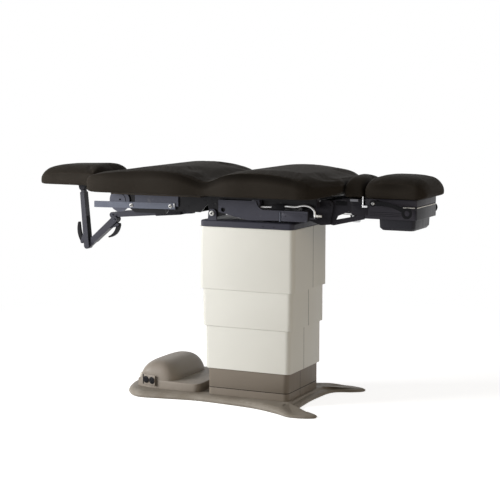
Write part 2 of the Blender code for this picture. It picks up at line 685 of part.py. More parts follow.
def make_seat_frame():
    """The cross member with the tilt lug, the rear beam with the foot hinge brackets, and the seat pan."""
    reach = PLATE_Y - SHEET - GAP
    top = BOARD_UNDER - GAP
    bar = box(CROSS_X, (-reach, reach), (SEAT_Z - CROSS_DROP, top), 0.002)
    x, rod_r, _ = TILT_ROD
    pin_z = tilt_pin_z()
    clear = CRANK_PIN_R - 0.001 + 0.0025
    eye = slot((x - 0.001, pin_z), (x + 0.014, pin_z), clear)
    outline = [
        (x - 0.018, pin_z - 0.015), (x + 0.030, pin_z - 0.015),
        (x + 0.024, top - 0.004), (x - 0.012, top - 0.004),
    ]
    lug = prism(outline, "y", rod_r + 0.0006, rod_r + 0.0070, [eye])
    ends = [
        box((CROSS_X[0] + 0.001, CROSS_X[1] - 0.0005), sorted((side * 0.190, side * (reach - 0.0004))),
            (SEAT_Z - 0.070, SEAT_Z - 0.030))
        for _, side in SIDES
    ]
    piece("seat_cross", bar, "charcoal", "seat", joined=[lug, *ends])

    beam = box(BEAM_X, (-reach, reach), (SEAT_Z - 0.078, SEAT_Z - 0.060), 0.002)
    start = BEAM_X[0] + 0.012
    upper = [
        *arc((FOOT_X, FOOT_Z), 0.024, -20, 110, 6), (FOOT_X - 0.040, SEAT_Z - 0.014),
        (FOOT_X - 0.075, SEAT_Z - 0.055), (start, SEAT_Z - 0.055),
    ]
    deep = [(start, SEAT_Z - 0.101), (FOOT_X - 0.038, SEAT_Z - 0.128), (FOOT_X + 0.007, SEAT_Z - 0.124)]
    slim = [(start, SEAT_Z - 0.085), (FOOT_X - 0.030, SEAT_Z - 0.072), (FOOT_X + 0.008, SEAT_Z - 0.060)]
    parts = []
    for (_, side), lower in zip(SIDES, (deep, slim)):
        parts.append(plate_y(lower + upper, side, BRACKET_Y))
        parts.append(cross_pin((FOOT_X, FOOT_Z), side, (FRAME_Y[0] - 0.003, BRACKET_Y[1] + 0.004), PIN_R))
    end = HOSE_POINTS[-1][0] + 0.012
    shelf = SEAT_Z - HOSE_POINTS[-1][1] - GAP
    angle = [
        (BEAM_X[0] + 0.012, shelf - 0.010), (end, shelf - 0.010), (end, shelf), (BEAM_X[1] - 0.002, shelf),
        (BEAM_X[1] - 0.002, SEAT_Z - 0.070), (BEAM_X[0] + 0.012, SEAT_Z - 0.070),
    ]
    parts.append(prism(angle, "y", HOSE_Y - 0.009, HOSE_Y + 0.010))
    piece("seat_rear_beam", beam, "charcoal", "seat", joined=parts)

    half = BOARD_HALF_Y
    start, turn, end = SEAT_PAN_X
    slim = half - 0.045
    plan = [(start, -half), (turn, -half), (end, -slim), (end, slim), (turn, half), (start, half)]
    lips = []
    for _, side in SIDES:
        across = sorted((side * PAN_LIP_Y, side * (PAN_LIP_Y - SHEET)))
        for reach in ((start + 0.035, CROSS_X[0] - RUN), (CROSS_X[1] + RUN, end - 0.005)):
            lips.append(box(reach, across, (SEAT_Z - PAN_LIP_DROP, BOARD_UNDER + 0.002)))
    piece("seat_pan", prism(plan, "z", BOARD_UNDER, BOARD_TOP), "charcoal", "seat", joined=lips)


HOSE_Y = -0.199
# The hose's route along the seat's near side: X, and depth under the upholstery
HOSE_POINTS = ((CROSS_X[1] + RUN, 0.050), (0.132, 0.048), (0.201, 0.042), (0.257, 0.043), (0.302, 0.036),
               (0.334, 0.044), (0.350, 0.064), (0.351, 0.076), (0.351, 0.088))


def make_hose():
    """The silver hose, a tube along a smooth curve through the route's points."""
    places = np.array(HOSE_POINTS)
    steps = np.concatenate([[0], np.cumsum(np.linalg.norm(np.diff(places, axis=0), axis=1))])
    at_x = smooth_through(np.stack([steps, places[:, 0]], axis=1))
    at_depth = smooth_through(np.stack([steps, places[:, 1]], axis=1))
    along = np.linspace(0, steps[-1], 28)
    empty, pivot = JOINTS["seat"]
    curve = bpy.data.curves.new("side_hose", "CURVE")
    curve.dimensions = "3D"
    curve.bevel_depth = HOSE_R
    curve.bevel_resolution = 2
    curve.use_fill_caps = True
    route = curve.splines.new("POLY")
    route.points.add(len(along) - 1)
    for point, x, depth in zip(route.points, at_x(along), at_depth(along)):
        point.co = (*(Vector((x, HOSE_Y, SEAT_Z - depth)) - pivot), 1)
    obj = bpy.data.objects.new("side_hose", curve)
    obj.parent = empty
    curve.materials.append(finish_material("side_hose", "bright_steel"))
    bpy.context.scene.collection.objects.link(obj)


def crank_pin(hinge, radius, swing):
    """The pin of an actuator's crank at rest: it swings evenly to both sides of the upright."""
    return (hinge[0] + radius * math.sin(swing / 2), hinge[1] - radius * math.cos(swing / 2))


def make_actuator(name, pin, radius, swing, heading, y, body):
    """An actuator along X: a housing that hangs from the cross member, and a rod whose slotted end takes
    the crank's pin. The heading says which way the rod points."""
    x, z = pin
    dip = radius * (1 - math.cos(swing / 2))
    mouth = CROSS_X[1] + 0.140 if heading > 0 else CROSS_X[0] - 0.020
    closed_end = CROSS_X[0] - 0.055 if heading > 0 else CROSS_X[1] + 0.150
    housing = cup((mouth, y, z), (closed_end, y, z), "x", ACT_R, ROD_R + RUN, 0.006)
    hanger = (z + 0.014, SEAT_Z - CROSS_DROP - GAP)
    ear = box((CROSS_X[0] + 0.004, CROSS_X[1] - 0.004), (y - 0.012, y + 0.012), hanger)
    piece(name, housing, "grey_steel", "seat", joined=[ear])

    inside = mouth - heading * (0.080 if heading > 0 else 0.110)
    plate_y_range = (y - 0.0045, y + 0.0045)
    half = CRANK_PIN_R + 0.0035
    eye = slot((x, z + 0.002), (x, z - dip - 0.002), half)
    end = rounded_rect(half + 0.012, dip / 2 + half + 0.011, 0.008, (x, z - dip / 2))
    plate = prism(end, "y", *plate_y_range, [eye])
    stem = rod((inside, y, z), (x - heading * (half + 0.0075), y, z), ROD_R)
    piece(name + "_rod", stem, "bright_steel", body, joined=[plate])


def crank_arm(root, pin, y):
    """A crank plate beside an actuator's rod end, and the pin that passes through its slot."""
    inner, outer = y - 0.0045 - 0.0010, y - 0.0045 - 0.0090
    arm = prism(root, "y", outer, inner)
    through = rod((pin[0], outer + 0.002, pin[1]), (pin[0], y + 0.010, pin[1]), CRANK_PIN_R, 12)
    return [arm, through]


# Back

def make_back():
    """The pan that hinges on the seat's gussets, the two rails, the board and the headrest's guide."""
    low = SEAT_Z - PAN_DEPTH
    top = BOARD_UNDER - GAP
    cheek = [
        (WEB[0][0], top), *((x, SEAT_Z - depth) for x, depth in WEB),
        (PAN_X[0], low), (PAN_X[1] - 0.015, low), (BACK_X - 0.010, BACK_Z - 0.012),
        *arc((BACK_X, BACK_Z), 0.0135, -60, 90, 6), (BACK_X - 0.045, top - 0.001), (BACK_X - 0.055, top),
    ]
    eye = circle((BACK_X, BACK_Z), PIN_R + RUN)
    wide = ARM_Y[1] - 0.001
    sheet = box((PAN_X[0] + 0.001, PAN_X[1] - 0.020), (-wide, wide), (low + 0.0005, low + 0.0045))
    wide -= 0.001
    wall = box((PAN_X[0] + 0.0005, PAN_X[0] + 0.0045), (-wide, wide), (low + 0.001, top - 0.001))
    joined = [plate_y(cheek, 1, ARM_Y, [eye]), sheet, wall]
    pin = crank_pin((BACK_X, BACK_Z), BACK_CRANK, BACK_RANGE)
    root = capsule((PAN_X[1] - 0.030, low + 0.016), pin, 0.015, 0.012)
    joined += crank_arm(root, pin, -ACT_Y)
    piece("back_pan", plate_y(cheek, -1, ARM_Y, [eye]), "charcoal", "back", joined=joined)

    rail = [
        (RAIL_X[0], SEAT_Z - RAIL_HEAD[0]), (RAIL_X[1], SEAT_Z - RAIL_FOOT[0]),
        (RAIL_X[1], SEAT_Z - RAIL_FOOT[1]), (RAIL_X[0], SEAT_Z - RAIL_HEAD[1]),
    ]
    post_foot = SEAT_Z - (RAIL_HEAD[0] + RAIL_HEAD[1]) / 2 + 0.005
    post = [(POST_X[0], post_foot), (POST_X[1], post_foot), (POST_X[1], top), (POST_X[0], top)]
    middle = head_point(DISC_AT)
    rise = math.degrees(math.asin((top - middle[1]) / DISC_R))
    disc = arc(middle, DISC_R, 180 - rise, 360 + rise, 24)
    behind = (RAIL_Y[0] + 0.0005, RAIL_Y[1] - 0.004)
    for label, side in SIDES:
        joined = [plate_y(disc, side, behind), plate_y(post, side, (behind[0] + 0.0002, behind[1] - 0.0002))]
        piece(f"back_rail_{label}", plate_y(rail, side, RAIL_Y), "grey_steel", "back", joined=joined)

    board = box(BACK_BOARD_X, (-BOARD_HALF_Y, BOARD_HALF_Y), (BOARD_UNDER, BOARD_TOP), 0.002)
    piece("back_board", board, "board", "back")

    bar_half_y, bar_half_z = BAR_HALF
    roof = BOARD_UNDER - GAP
    sole = [(x, bar_height(x) - bar_half_z - 0.003) for x in GUIDE_X]
    half = bar_half_y + 0.012
    block = prism([*sole, (GUIDE_X[1], roof), (GUIDE_X[0], roof)], "y", -half, half)
    start, end = GUIDE_X[0] - 0.05, GUIDE_X[1] + 0.05
    tunnel = [
        (x, bar_height(x) + way * (bar_half_z + RUN))
        for x, way in ((start, -1), (end, -1), (end, 1), (start, 1))
    ]
    bore = prism(tunnel, "y", -bar_half_y - RUN, bar_half_y + RUN)
    piece("head_guide", block, "grey_steel", "back", cuts=[bore])


# Headrest

def head_point(place):
    """A place on the headrest's linkage as X and Z."""
    return (place[0], SEAT_Z - place[1])


def bar_height(x):
    """Height of the sliding bar's middle line at X."""
    (x0, z0), (x1, z1) = head_point(BAR_END), head_point(BAR_TIP)
    return z0 + (z1 - z0) * (x - x0) / (x1 - x0)


def along(start, end, ahead, aside=0.0):
    """A point ahead of start on the line to end, moved to the left of that line."""
    a, b = Vector(start), Vector(end)
    run = (b - a).normalized()
    place = a + run * ahead + Vector((-run.y, run.x)) * aside
    return (place.x, place.y)


def strip(start, end, first, last, half):
    """A rectangle along the line from start to end, between two distances from start."""
    return [
        along(start, end, ahead, aside)
        for ahead, aside in ((first, -half), (last, -half), (last, half), (first, half))
    ]


def bent_strip(start, pull, end, half):
    """The outline of a strip along a quadratic curve from start to end, with its half width at 9 steps."""
    t = np.linspace(0, 1, 9)[:, None]
    line = (1 - t) ** 2 * start + 2 * t * (1 - t) * pull + t**2 * end
    run = np.gradient(line, axis=0)
    run /= np.linalg.norm(run, axis=1)[:, None]
    aside = np.stack([-run[:, 1], run[:, 0]], axis=1) * half
    return [tuple(p) for p in np.concatenate([line + aside, (line - aside)[::-1]])]


def lock_lever(name, root, tip, bow, widths, body):
    """A curved lever with a round, drilled root. Its middle stands off the line to the tip by bow."""
    middle = along(root, tip, (Vector(tip) - Vector(root)).length / 2, bow)
    t = np.linspace(0, 1, 9)[:, None]
    root_at, tip_at = np.array(root), np.array(tip)
    pull = 2 * np.array(middle) - (root_at + tip_at) / 2
    start, centre, end = widths
    wide = start * (1 - t) * (1 - 2 * t) + centre * 4 * t * (1 - t) + end * t * (2 * t - 1)
    outline = bent_strip(root_at, pull, tip_at, wide)
    half = LEVER_HALF_Y - 0.0002
    bar = prism(outline, "y", -half, half)
    eye = rod((root[0], -LEVER_HALF_Y, root[1]), (root[0], LEVER_HALF_Y, root[1]), 0.0085)
    bore = rod((root[0], -0.02, root[1]), (root[0], 0.02, root[1]), 0.0030 + RUN, 12)
    piece(name, eye, "charcoal", body, joined=[bar], cuts=[bore])


def lever_mount(root, foot):
    """The two ears on a link that carry a lock lever, and the pin between them."""
    outline = capsule(foot, root, 0.012, 0.007)
    ears = [plate_y(outline, side, (LEVER_HALF_Y + RUN, LEVER_HALF_Y + 0.0055)) for _, side in SIDES]
    reach = LEVER_HALF_Y + 0.004
    return [*ears, rod((root[0], -reach, root[1]), (root[0], reach, root[1]), 0.0030, 12)]


def make_headrest():
    """The sliding bar, the two links with their lock levers, and the bracket under the head cushion."""
    knee, heel, neck = (head_point(place) for place in (KNEE, HEEL, NECK))
    bar_end, bar_tip = head_point(BAR_END), head_point(BAR_TIP)
    far = 0.03
    tang = (TANG_HALF_Y, LINK_HALF_Y + 0.01)

    def side_cuts(outline):
        return [plate_y(outline, side, tang) for _, side in SIDES]

    def pin_at(place, reach=LINK_HALF_Y - 0.001):
        return rod((place[0], -reach, place[1]), (place[0], reach, place[1]), LINK_PIN_R, 12)

    def bore_at(place):
        return rod((place[0], -far, place[1]), (place[0], far, place[1]), LINK_PIN_R + RUN, 12)

    reach = (Vector(bar_end) - Vector(bar_tip)).length
    bar = prism(strip(bar_tip, bar_end, 0.004, reach, BAR_HALF[1]), "y", -BAR_HALF[0], BAR_HALF[0])
    eye = prism(capsule(bar_tip, knee, 0.0145, 0.016, 9), "y", -TANG_HALF_Y + 0.0003, TANG_HALF_Y - 0.0003)
    cuts = side_cuts(strip(bar_tip, bar_end, -far, 0.036, 0.05)) + [bore_at(knee)]
    hood_half = BAR_HALF[0] - 0.0003
    hood = prism([head_point(place) for place in BAR_HOOD], "y", -hood_half, hood_half)
    piece("head_slide_bar", bar, "grey_steel", "head_slide", joined=[eye, hood], cuts=cuts)

    lower_r, upper_r = LINK_R
    slot_half = TANG_HALF_Y + RUN
    lower = prism(capsule(knee, heel, lower_r, lower_r - 0.002), "y", -LINK_HALF_Y, LINK_HALF_Y)
    fork = prism(strip(knee, heel, -far, 0.026, far), "y", -slot_half, slot_half)
    length = (Vector(heel) - Vector(knee)).length
    root = along(knee, heel, 0.006, 0.031)
    cuts = [fork, *side_cuts(strip(knee, heel, length - 0.047, length + far, far)), bore_at(heel)]
    lower_link = piece("head_link_lower", lower, "grey_steel", "head_lower", cuts=cuts)
    mount = lever_mount(root, along(knee, heel, 0.044, 0.008))
    add_joined(lower_link, [pin_at(knee), *mount], "head_lower")
    lock_lever("head_lever_lower", root, along(knee, heel, 0.092, 0.043), 0.014, LEVER_WIDE[0], "lever_lower")

    upper = prism(capsule(heel, neck, upper_r + 0.003, upper_r), "y", -LINK_HALF_Y, LINK_HALF_Y)
    fork = prism(strip(heel, neck, -far, 0.047, far), "y", -slot_half, slot_half)
    length = (Vector(neck) - Vector(heel)).length
    root = along(heel, neck, 0.022, 0.031)
    cuts = [fork, *side_cuts(strip(heel, neck, length - 0.024, length + far, far)), bore_at(neck)]
    upper_link = piece("head_link_upper", upper, "grey_steel", "head_upper", cuts=cuts)
    mount = lever_mount(root, along(heel, neck, 0.064, 0.006))
    add_joined(upper_link, [pin_at(heel), *mount], "head_upper")
    lock_lever("head_lever_upper", root, along(heel, neck, 0.125, 0.041), 0.008, LEVER_WIDE[1], "lever_upper")

    half_x, half_y, thick = HEAD_BOARD
    under = SEAT_Z + 0.0080
    middle = neck[0] - 0.020
    plan = rounded_rect(half_x, half_y, 0.05, (middle, 0))
    board = prism(plan, "z", under, under + thick)
    cheek = arc(neck, 0.0155, 180, 360, 9)
    cheek += [(neck[0] + 0.020, under + 0.002), (neck[0] - 0.020, under + 0.002)]
    joined = [plate_y(cheek, side, (slot_half, LINK_HALF_Y)) for _, side in SIDES]
    piece("head_bracket", board, "charcoal", "head", joined=[*joined, pin_at(neck)])


def add_joined(obj, tools, body):
    """Fuses more meshes to a piece after its cuts, such as a pin across a fork."""
    for number, tool in enumerate(tools):
        helper = hang(f"{obj.name}_late_{number}", tool, body)
        helper.hide_render = True
        helper.display_type = "WIRE"
        step = obj.modifiers.new("union", "BOOLEAN")
        step.operation = "UNION"
        step.solver = "EXACT"
        step.object = helper


# Foot section

def make_foot_frame():
    """The welded frame on the foot hinge: two arms with windows, a cross beam and the actuator's crank."""
    top = SEAT_Z - GAP
    end = FOOT_X + FRAME_END
    low = SEAT_Z - 0.073
    outline = [
        *arc((FOOT_X, FOOT_Z), 0.021, 120, 200, 5), (FOOT_X + 0.004, SEAT_Z - 0.124),
        (FOOT_X + 0.022, SEAT_Z - 0.127), (end + 0.014, SEAT_Z - 0.093), (end + 0.014, low),
        (end, low + 0.003), (end, top), (FOOT_X + 0.080, top), (FOOT_X + 0.014, SEAT_Z - 0.012),
    ]
    window = [
        (FOOT_X + 0.033, SEAT_Z - 0.100), (FOOT_X + 0.140, SEAT_Z - 0.078),
        (FOOT_X + 0.138, SEAT_Z - 0.071), (FOOT_X + 0.104, SEAT_Z - 0.057), (FOOT_X + 0.042, SEAT_Z - 0.083),
    ]
    eye = circle((FOOT_X, FOOT_Z), PIN_R + RUN)
    beam = box(
        (FOOT_X + BEAM_FOOT[0], FOOT_X + BEAM_FOOT[1]), (-FRAME_Y[0] - 0.002, FRAME_Y[0] + 0.002),
        (SEAT_Z - 0.065, SEAT_Z - 0.015), 0.003,
    )
    seat = box(
        (FOOT_X + 0.084, end - 0.003), (-FRAME_Y[0] - 0.003, FRAME_Y[0] + 0.003), (top - 0.006, top - GAP)
    )
    pin = crank_pin((FOOT_X, FOOT_Z), FOOT_CRANK, FOOT_RANGE)
    root = capsule((FOOT_X + BEAM_FOOT[0] + 0.020, SEAT_Z - 0.050), pin, 0.014, 0.012)
    joined = [plate_y(outline, 1, FRAME_Y, [window, eye]), beam, seat, *crank_arm(root, pin, ACT_Y)]
    y, depth = RAIL_AT
    start = FOOT_X + BEAM_FOOT[0] - 0.01
    stop = FOOT_X + BEAM_FOOT[1] + 0.01
    bores = [
        rod((start, side * y, SEAT_Z - depth), (stop, side * y, SEAT_Z - depth), RAIL_R + RUN)
        for _, side in SIDES
    ]
    arm = plate_y(outline, -1, FRAME_Y, [window, eye])
    piece("foot_frame", arm, "charcoal", "foot", joined=joined, cuts=bores)


def make_foot_extension():
    """What slides out on the two rails: the box with its tray, the leg board and the stirrups."""
    head = FOOT_X + BOX_START
    end = head + BOX_LENGTH
    front = 0.007
    low, top = SEAT_Z - BOX_Z[0], SEAT_Z - BOX_Z[1]
    y, depth = RAIL_AT
    for label, side in SIDES:
        z = SEAT_Z - depth
        rail = rod((FOOT_X - 0.013, side * y, z), (head - GAP, side * y, z), RAIL_R)
        piece(f"extension_rail_{label}", rail, "bright_steel", "extension")

    inside = BOX_HALF_Y - BOX_WALL
    stop = end - front - GAP
    walls = [
        (head, -BOX_HALF_Y), (stop, -BOX_HALF_Y), (stop, -inside), (head + BOX_WALL, -inside),
        (head + BOX_WALL, inside), (stop, inside), (stop, BOX_HALF_Y), (head, BOX_HALF_Y),
    ]
    runners = []
    for _, side in SIDES:
        across = sorted((side * (inside - 0.010), side * (inside + 0.002)))
        runners.append(box((head + BOX_WALL - 0.002, stop - 0.0005), across, (low + 0.0003, low + RUNNER)))
    piece("foot_box", prism(walls, "z", low, top - GAP), "charcoal", "extension", joined=runners)

    cover = SEAT_Z + LEG_RAISE
    board = box((head, end), (-BOX_HALF_Y, BOX_HALF_Y), (top, cover), 0.003)
    ahead, drop = STIRRUP_AT
    pivot = (FOOT_X + ahead, SEAT_Z - drop)
    bosses = []
    for _, side in SIDES:
        shoulder = side * (STIRRUP_Y[0] - RUN)
        inner = side * (BOX_HALF_Y - 0.010)
        bosses.append(rod((pivot[0], inner, pivot[1]), (pivot[0], shoulder, pivot[1]), 0.0115))
        tip = side * (STIRRUP_Y[1] + 0.003)
        bosses.append(rod((pivot[0], inner, pivot[1]), (pivot[0], tip, pivot[1]), STIRRUP_PIN_R))
    piece("leg_board", board, "charcoal", "extension", joined=bosses)
    make_tray(head, end, front, low, top, inside)
    make_stirrups(pivot)


def make_tray(head, end, front, low, top, inside):
    """The tray: a flange that runs on the box's runners, a bowl under it and a front that closes the box."""
    bowl_x = (head + TRAY_CLEAR[0], end - TRAY_CLEAR[1])
    middle = sum(bowl_x) / 2
    half_x = (bowl_x[1] - bowl_x[0]) / 2
    flange = low + RUNNER + GAP
    rim = flange + 0.003
    flange_x = (head + 0.030, end - front + 0.002)
    wide = ((flange_x[1] - flange_x[0]) / 2, inside - RUN)
    centre = (sum(flange_x) / 2, 0)
    bottom = low - TRAY_DEPTH
    t = TRAY_WALL

    def bowl(shrink, z):
        return at_height(rounded_rect(half_x - shrink, TRAY_HALF_Y - shrink, 0.018, (middle, 0)), z)

    edge = rounded_rect(*wide, 0.006, centre)
    rings = [
        bowl(t + 0.012, bottom + t), bowl(t + 0.002, bottom + t + 0.012), bowl(t, rim),
        at_height(edge, rim), at_height(edge, flange),
        bowl(0, flange), bowl(0.002, bottom + 0.012), bowl(0.012, bottom),
    ]
    face = box((end - front, end), (-BOX_HALF_Y, BOX_HALF_Y), (low, top - GAP), 0.002)
    piece("treatment_tray", loft(rings), "charcoal", "tray", joined=[face])


def make_stirrups(pivot):
    """Two stirrups folded along the box: a curved arm and a heel loop."""
    loop = (pivot[0] + 0.162, pivot[1] - 0.040)
    t = np.linspace(0, 1, 9)[:, None]
    knee = np.array([pivot[0] + 0.095, pivot[1] + 0.006])
    arm = bent_strip(np.array(pivot), knee, np.array(loop), 0.0095 - 0.001 * t)
    for label, side in SIDES:
        inner, outer = STIRRUP_Y
        body = f"stirrup_{label}"
        bar = plate_y(arm, side, (inner + 0.0002, outer - 0.0002))
        eye = plate_y(circle(pivot, 0.015, 20), side, STIRRUP_Y)
        heel = plate_y(circle(loop, 0.025, 24), side, (inner + 0.0004, outer - 0.0004))
        bores = [
            plate_y(circle(pivot, STIRRUP_PIN_R + RUN), side, (inner - 0.01, outer + 0.01)),
            plate_y(circle(loop, 0.013), side, (inner - 0.01, outer + 0.01)),
        ]
        piece(f"stirrup_{label}", eye, "charcoal", body, joined=[bar, heel], cuts=bores)


# Upholstery

def section(x, half, under, top, count):
    """A cushion's cross section: flat underside, sides drawn in to the underside, crowned top."""
    turns = (np.arange(count) + 0.5) * math.tau / count
    belly = under + min(BELLY, 0.45 * (top - under))
    side, rise = np.cos(turns), np.sin(turns)
    y = half * np.sign(side) * np.abs(side) ** np.where(rise > 0, 0.42, 0.36)
    up = belly + (top - belly) * np.abs(rise) ** 0.78
    down = belly - (belly - under) * np.abs(rise) ** 0.30
    z = np.where(rise > 0, up, down)
    return [(x, b, c) for b, c in zip(y, z)]


def cushion_skin(ends, round_ends, half_at, top_at, under, stations, count=20):
    """A cushion lofted along X. Its half width and crown are functions of X, and its ends are rounded."""
    start, stop = ends
    turns = np.linspace(0, 1, 5)[:-1]
    first = start + round_ends[0] * (1 - np.cos(turns * math.pi / 2))
    last = stop - round_ends[1] * (1 - np.cos(turns * math.pi / 2))
    middle = np.linspace(start + round_ends[0], stop - round_ends[1], stations)
    rings = []
    for x in np.concatenate([first, middle, last[::-1]]):
        pinch = 0.0
        for edge, radius in ((x - start, round_ends[0]), (stop - x, round_ends[1])):
            if edge < radius:
                pinch += radius - math.sqrt(max(radius**2 - (radius - edge) ** 2, 0))
        half = float(half_at(x)) - pinch
        crown = float(top_at(x)) - 0.75 * pinch
        rings.append(section(x, half, under + 0.35 * pinch, crown, count))
    return loft(rings)


def make_upholstery():
    """One skin over back and seat, parted into back, seat and the soft fold over the back's hinge."""
    half_at = smooth_through([
        (BACK_END, SEAT_HALF_Y - 0.006), (-0.72, SEAT_HALF_Y), (-0.52, SEAT_HALF_Y - 0.005),
        (-0.29, SEAT_HALF_Y - 0.002), (-0.155, SEAT_HALF_Y - 0.022), (-0.03, SEAT_HALF_Y - 0.002),
        (0.10, SEAT_HALF_Y - 0.004), (0.28, SEAT_HALF_Y - 0.004), (0.34, SEAT_HALF_Y - 0.010),
        (0.38, SEAT_HALF_Y - 0.034), (0.41, SEAT_HALF_Y - 0.082), (0.435, SEAT_HALF_Y - 0.132),
        (SEAT_END, SEAT_HALF_Y - 0.170),
    ])
    crown_at = smooth_through([
        (BACK_END, 0.092), (-0.70, 0.108), (-0.60, 0.116), (-0.45, 0.126), (-0.355, 0.129), (-0.274, 0.127),
        (-0.22, 0.111), (-0.175, 0.090), (-0.14, 0.078), (-0.11, 0.083), (-0.06, 0.103), (0.00, 0.120),
        (0.12, 0.133), (0.22, 0.136), (0.30, 0.132), (0.38, 0.124), (0.43, 0.113), (SEAT_END, 0.100),
    ])

    def skin():
        return cushion_skin(
            (BACK_END, SEAT_END), (0.045, 0.024), half_at, lambda x: SEAT_Z + crown_at(x), SEAT_Z, 34
        )

    rise = 0.30
    lean = rise * math.tan(FOLD_ANGLE)
    near, far = -1.0, 1.0

    def cut_from_fold(end, way):
        """The space on one side of the fold: way is -1 towards the back and 1 towards the seat."""
        edge = BACK_X + way * SOFT_GAP
        return [(edge, BACK_Z), (edge + way * lean, BACK_Z + rise), (end, BACK_Z + rise), (end, BACK_Z)]

    wedge = [(BACK_X, BACK_Z), (BACK_X - lean, BACK_Z + rise), (BACK_X + lean, BACK_Z + rise)]
    parts = (
        ("back_cushion", cut_from_fold(BACK_END - 0.1, -1), "back"),
        ("hip_fold", wedge, "seat"),
        ("seat_cushion", cut_from_fold(SEAT_END + 0.1, 1), "seat"),
    )
    for name, bounds, body in parts:
        piece(name, skin(), "vinyl", body, common=prism(bounds, "y", near, far))


def make_pads():
    """The separate cushions: headrest, bolster and leg cushion."""
    head_x = NECK[0]
    head_half = smooth_through([
        (-0.184, 0.130), (-0.14, 0.150), (-0.05, 0.158), (0.08, 0.166), (0.15, 0.171), (0.184, 0.168),
    ])
    head_top = smooth_through([
        (-0.184, 0.060), (-0.14, 0.080), (-0.08, 0.091), (0.02, 0.095), (0.10, 0.096), (0.15, 0.097),
        (0.184, 0.092),
    ])
    under = SEAT_Z + 0.0080 + HEAD_BOARD[2] + GAP
    skin = cushion_skin(
        (head_x - 0.184, head_x + 0.184), (0.036, 0.030), lambda x: head_half(x - head_x),
        lambda x: under + head_top(x - head_x), under, 14,
    )
    piece("head_cushion", skin, "vinyl", "head")

    start = SEAT_END + 0.004
    end = FOOT_X + BOX_START - 0.004
    bolster_half = smooth_through([(0.0, 0.158), (0.3, 0.150), (0.7, 0.148), (1.0, 0.152)])
    bolster_top = smooth_through([(0.0, 0.098), (0.35, 0.102), (0.7, 0.098), (1.0, 0.090)])
    skin = cushion_skin(
        (start, end), (0.020, 0.022), lambda x: bolster_half((x - start) / (end - start)),
        lambda x: SEAT_Z + bolster_top((x - start) / (end - start)), SEAT_Z, 8,
    )
    piece("bolster", skin, "vinyl", "foot")

    start = FOOT_X + BOX_START
    end = start + BOX_LENGTH + 0.043
    base = SEAT_Z + LEG_RAISE + GAP
    leg_half = smooth_through([(0.0, 0.160), (0.15, 0.168), (0.5, 0.166), (0.85, 0.169), (1.0, 0.164)])
    leg_top = smooth_through([(0.0, 0.092), (0.2, 0.102), (0.5, 0.107), (0.75, 0.104), (1.0, 0.090)])
    skin = cushion_skin(
        (start, end), (0.030, 0.048), lambda x: leg_half((x - start) / (end - start)),
        lambda x: base + leg_top((x - start) / (end - start)), base, 12,
    )
    piece("leg_cushion", skin, "vinyl", "extension")


def make_joints():
    """The tree of bodies, each an empty on its joint's axis."""
    pins = {place: (*head_point(spot)[:1], 0, head_point(spot)[1]) for place, spot in
            (("knee", KNEE), ("heel", HEEL), ("neck", NECK))}
    joint("base", (0, 0, 0))
    for name in ("column_mid", "cover_lower", "cover_mid", "carriage"):
        joint(name, (0, 0, BASE_THICK), "base")
    joint("tilt_rod", (TILT_ROD[0], 0, tilt_pin_z()), "carriage")
    joint("seat", (PIVOT_X, 0, PIVOT_Z), "carriage")
    joint("back", (BACK_X, 0, BACK_Z), "seat")
    joint("back_rod", (BACK_X, -ACT_Y, BACK_Z), "seat")
    joint("head_slide", pins["knee"], "back")
    joint("head_lower", pins["knee"], "head_slide")
    joint("lever_lower", pins["knee"], "head_lower")
    joint("head_upper", pins["heel"], "head_lower")
    joint("lever_upper", pins["heel"], "head_upper")
    joint("head", pins["neck"], "head_upper")
    joint("foot", (FOOT_X, 0, FOOT_Z), "seat")
    joint("foot_rod", (FOOT_X, ACT_Y, FOOT_Z), "seat")
    joint("extension", (FOOT_X + BOX_START, 0, FOOT_Z), "foot")
    joint("tray", (FOOT_X + BOX_START, 0, FOOT_Z), "extension")
    for label, side in SIDES:
        place = (FOOT_X + STIRRUP_AT[0], side * STIRRUP_Y[0], SEAT_Z - STIRRUP_AT[1])
        joint(f"stirrup_{label}", place, "extension")


def main():
    clear_scene()
    make_joints()
    make_base()
    make_power_unit()
    make_covers()
    make_column()
    make_carriage()
    make_seat_sides()
    make_seat_frame()
    make_hose()
    back_pin = crank_pin((BACK_X, BACK_Z), BACK_CRANK, BACK_RANGE)
    make_actuator("back_actuator", back_pin, BACK_CRANK, BACK_RANGE, -1, -ACT_Y, "back_rod")
    foot_pin = crank_pin((FOOT_X, FOOT_Z), FOOT_CRANK, FOOT_RANGE)
    make_actuator("foot_actuator", foot_pin, FOOT_CRANK, FOOT_RANGE, 1, ACT_Y, "foot_rod")
    make_back()
    make_headrest()
    make_foot_frame()
    make_foot_extension()
    make_upholstery()
    make_pads()


main()
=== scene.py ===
import json
import math

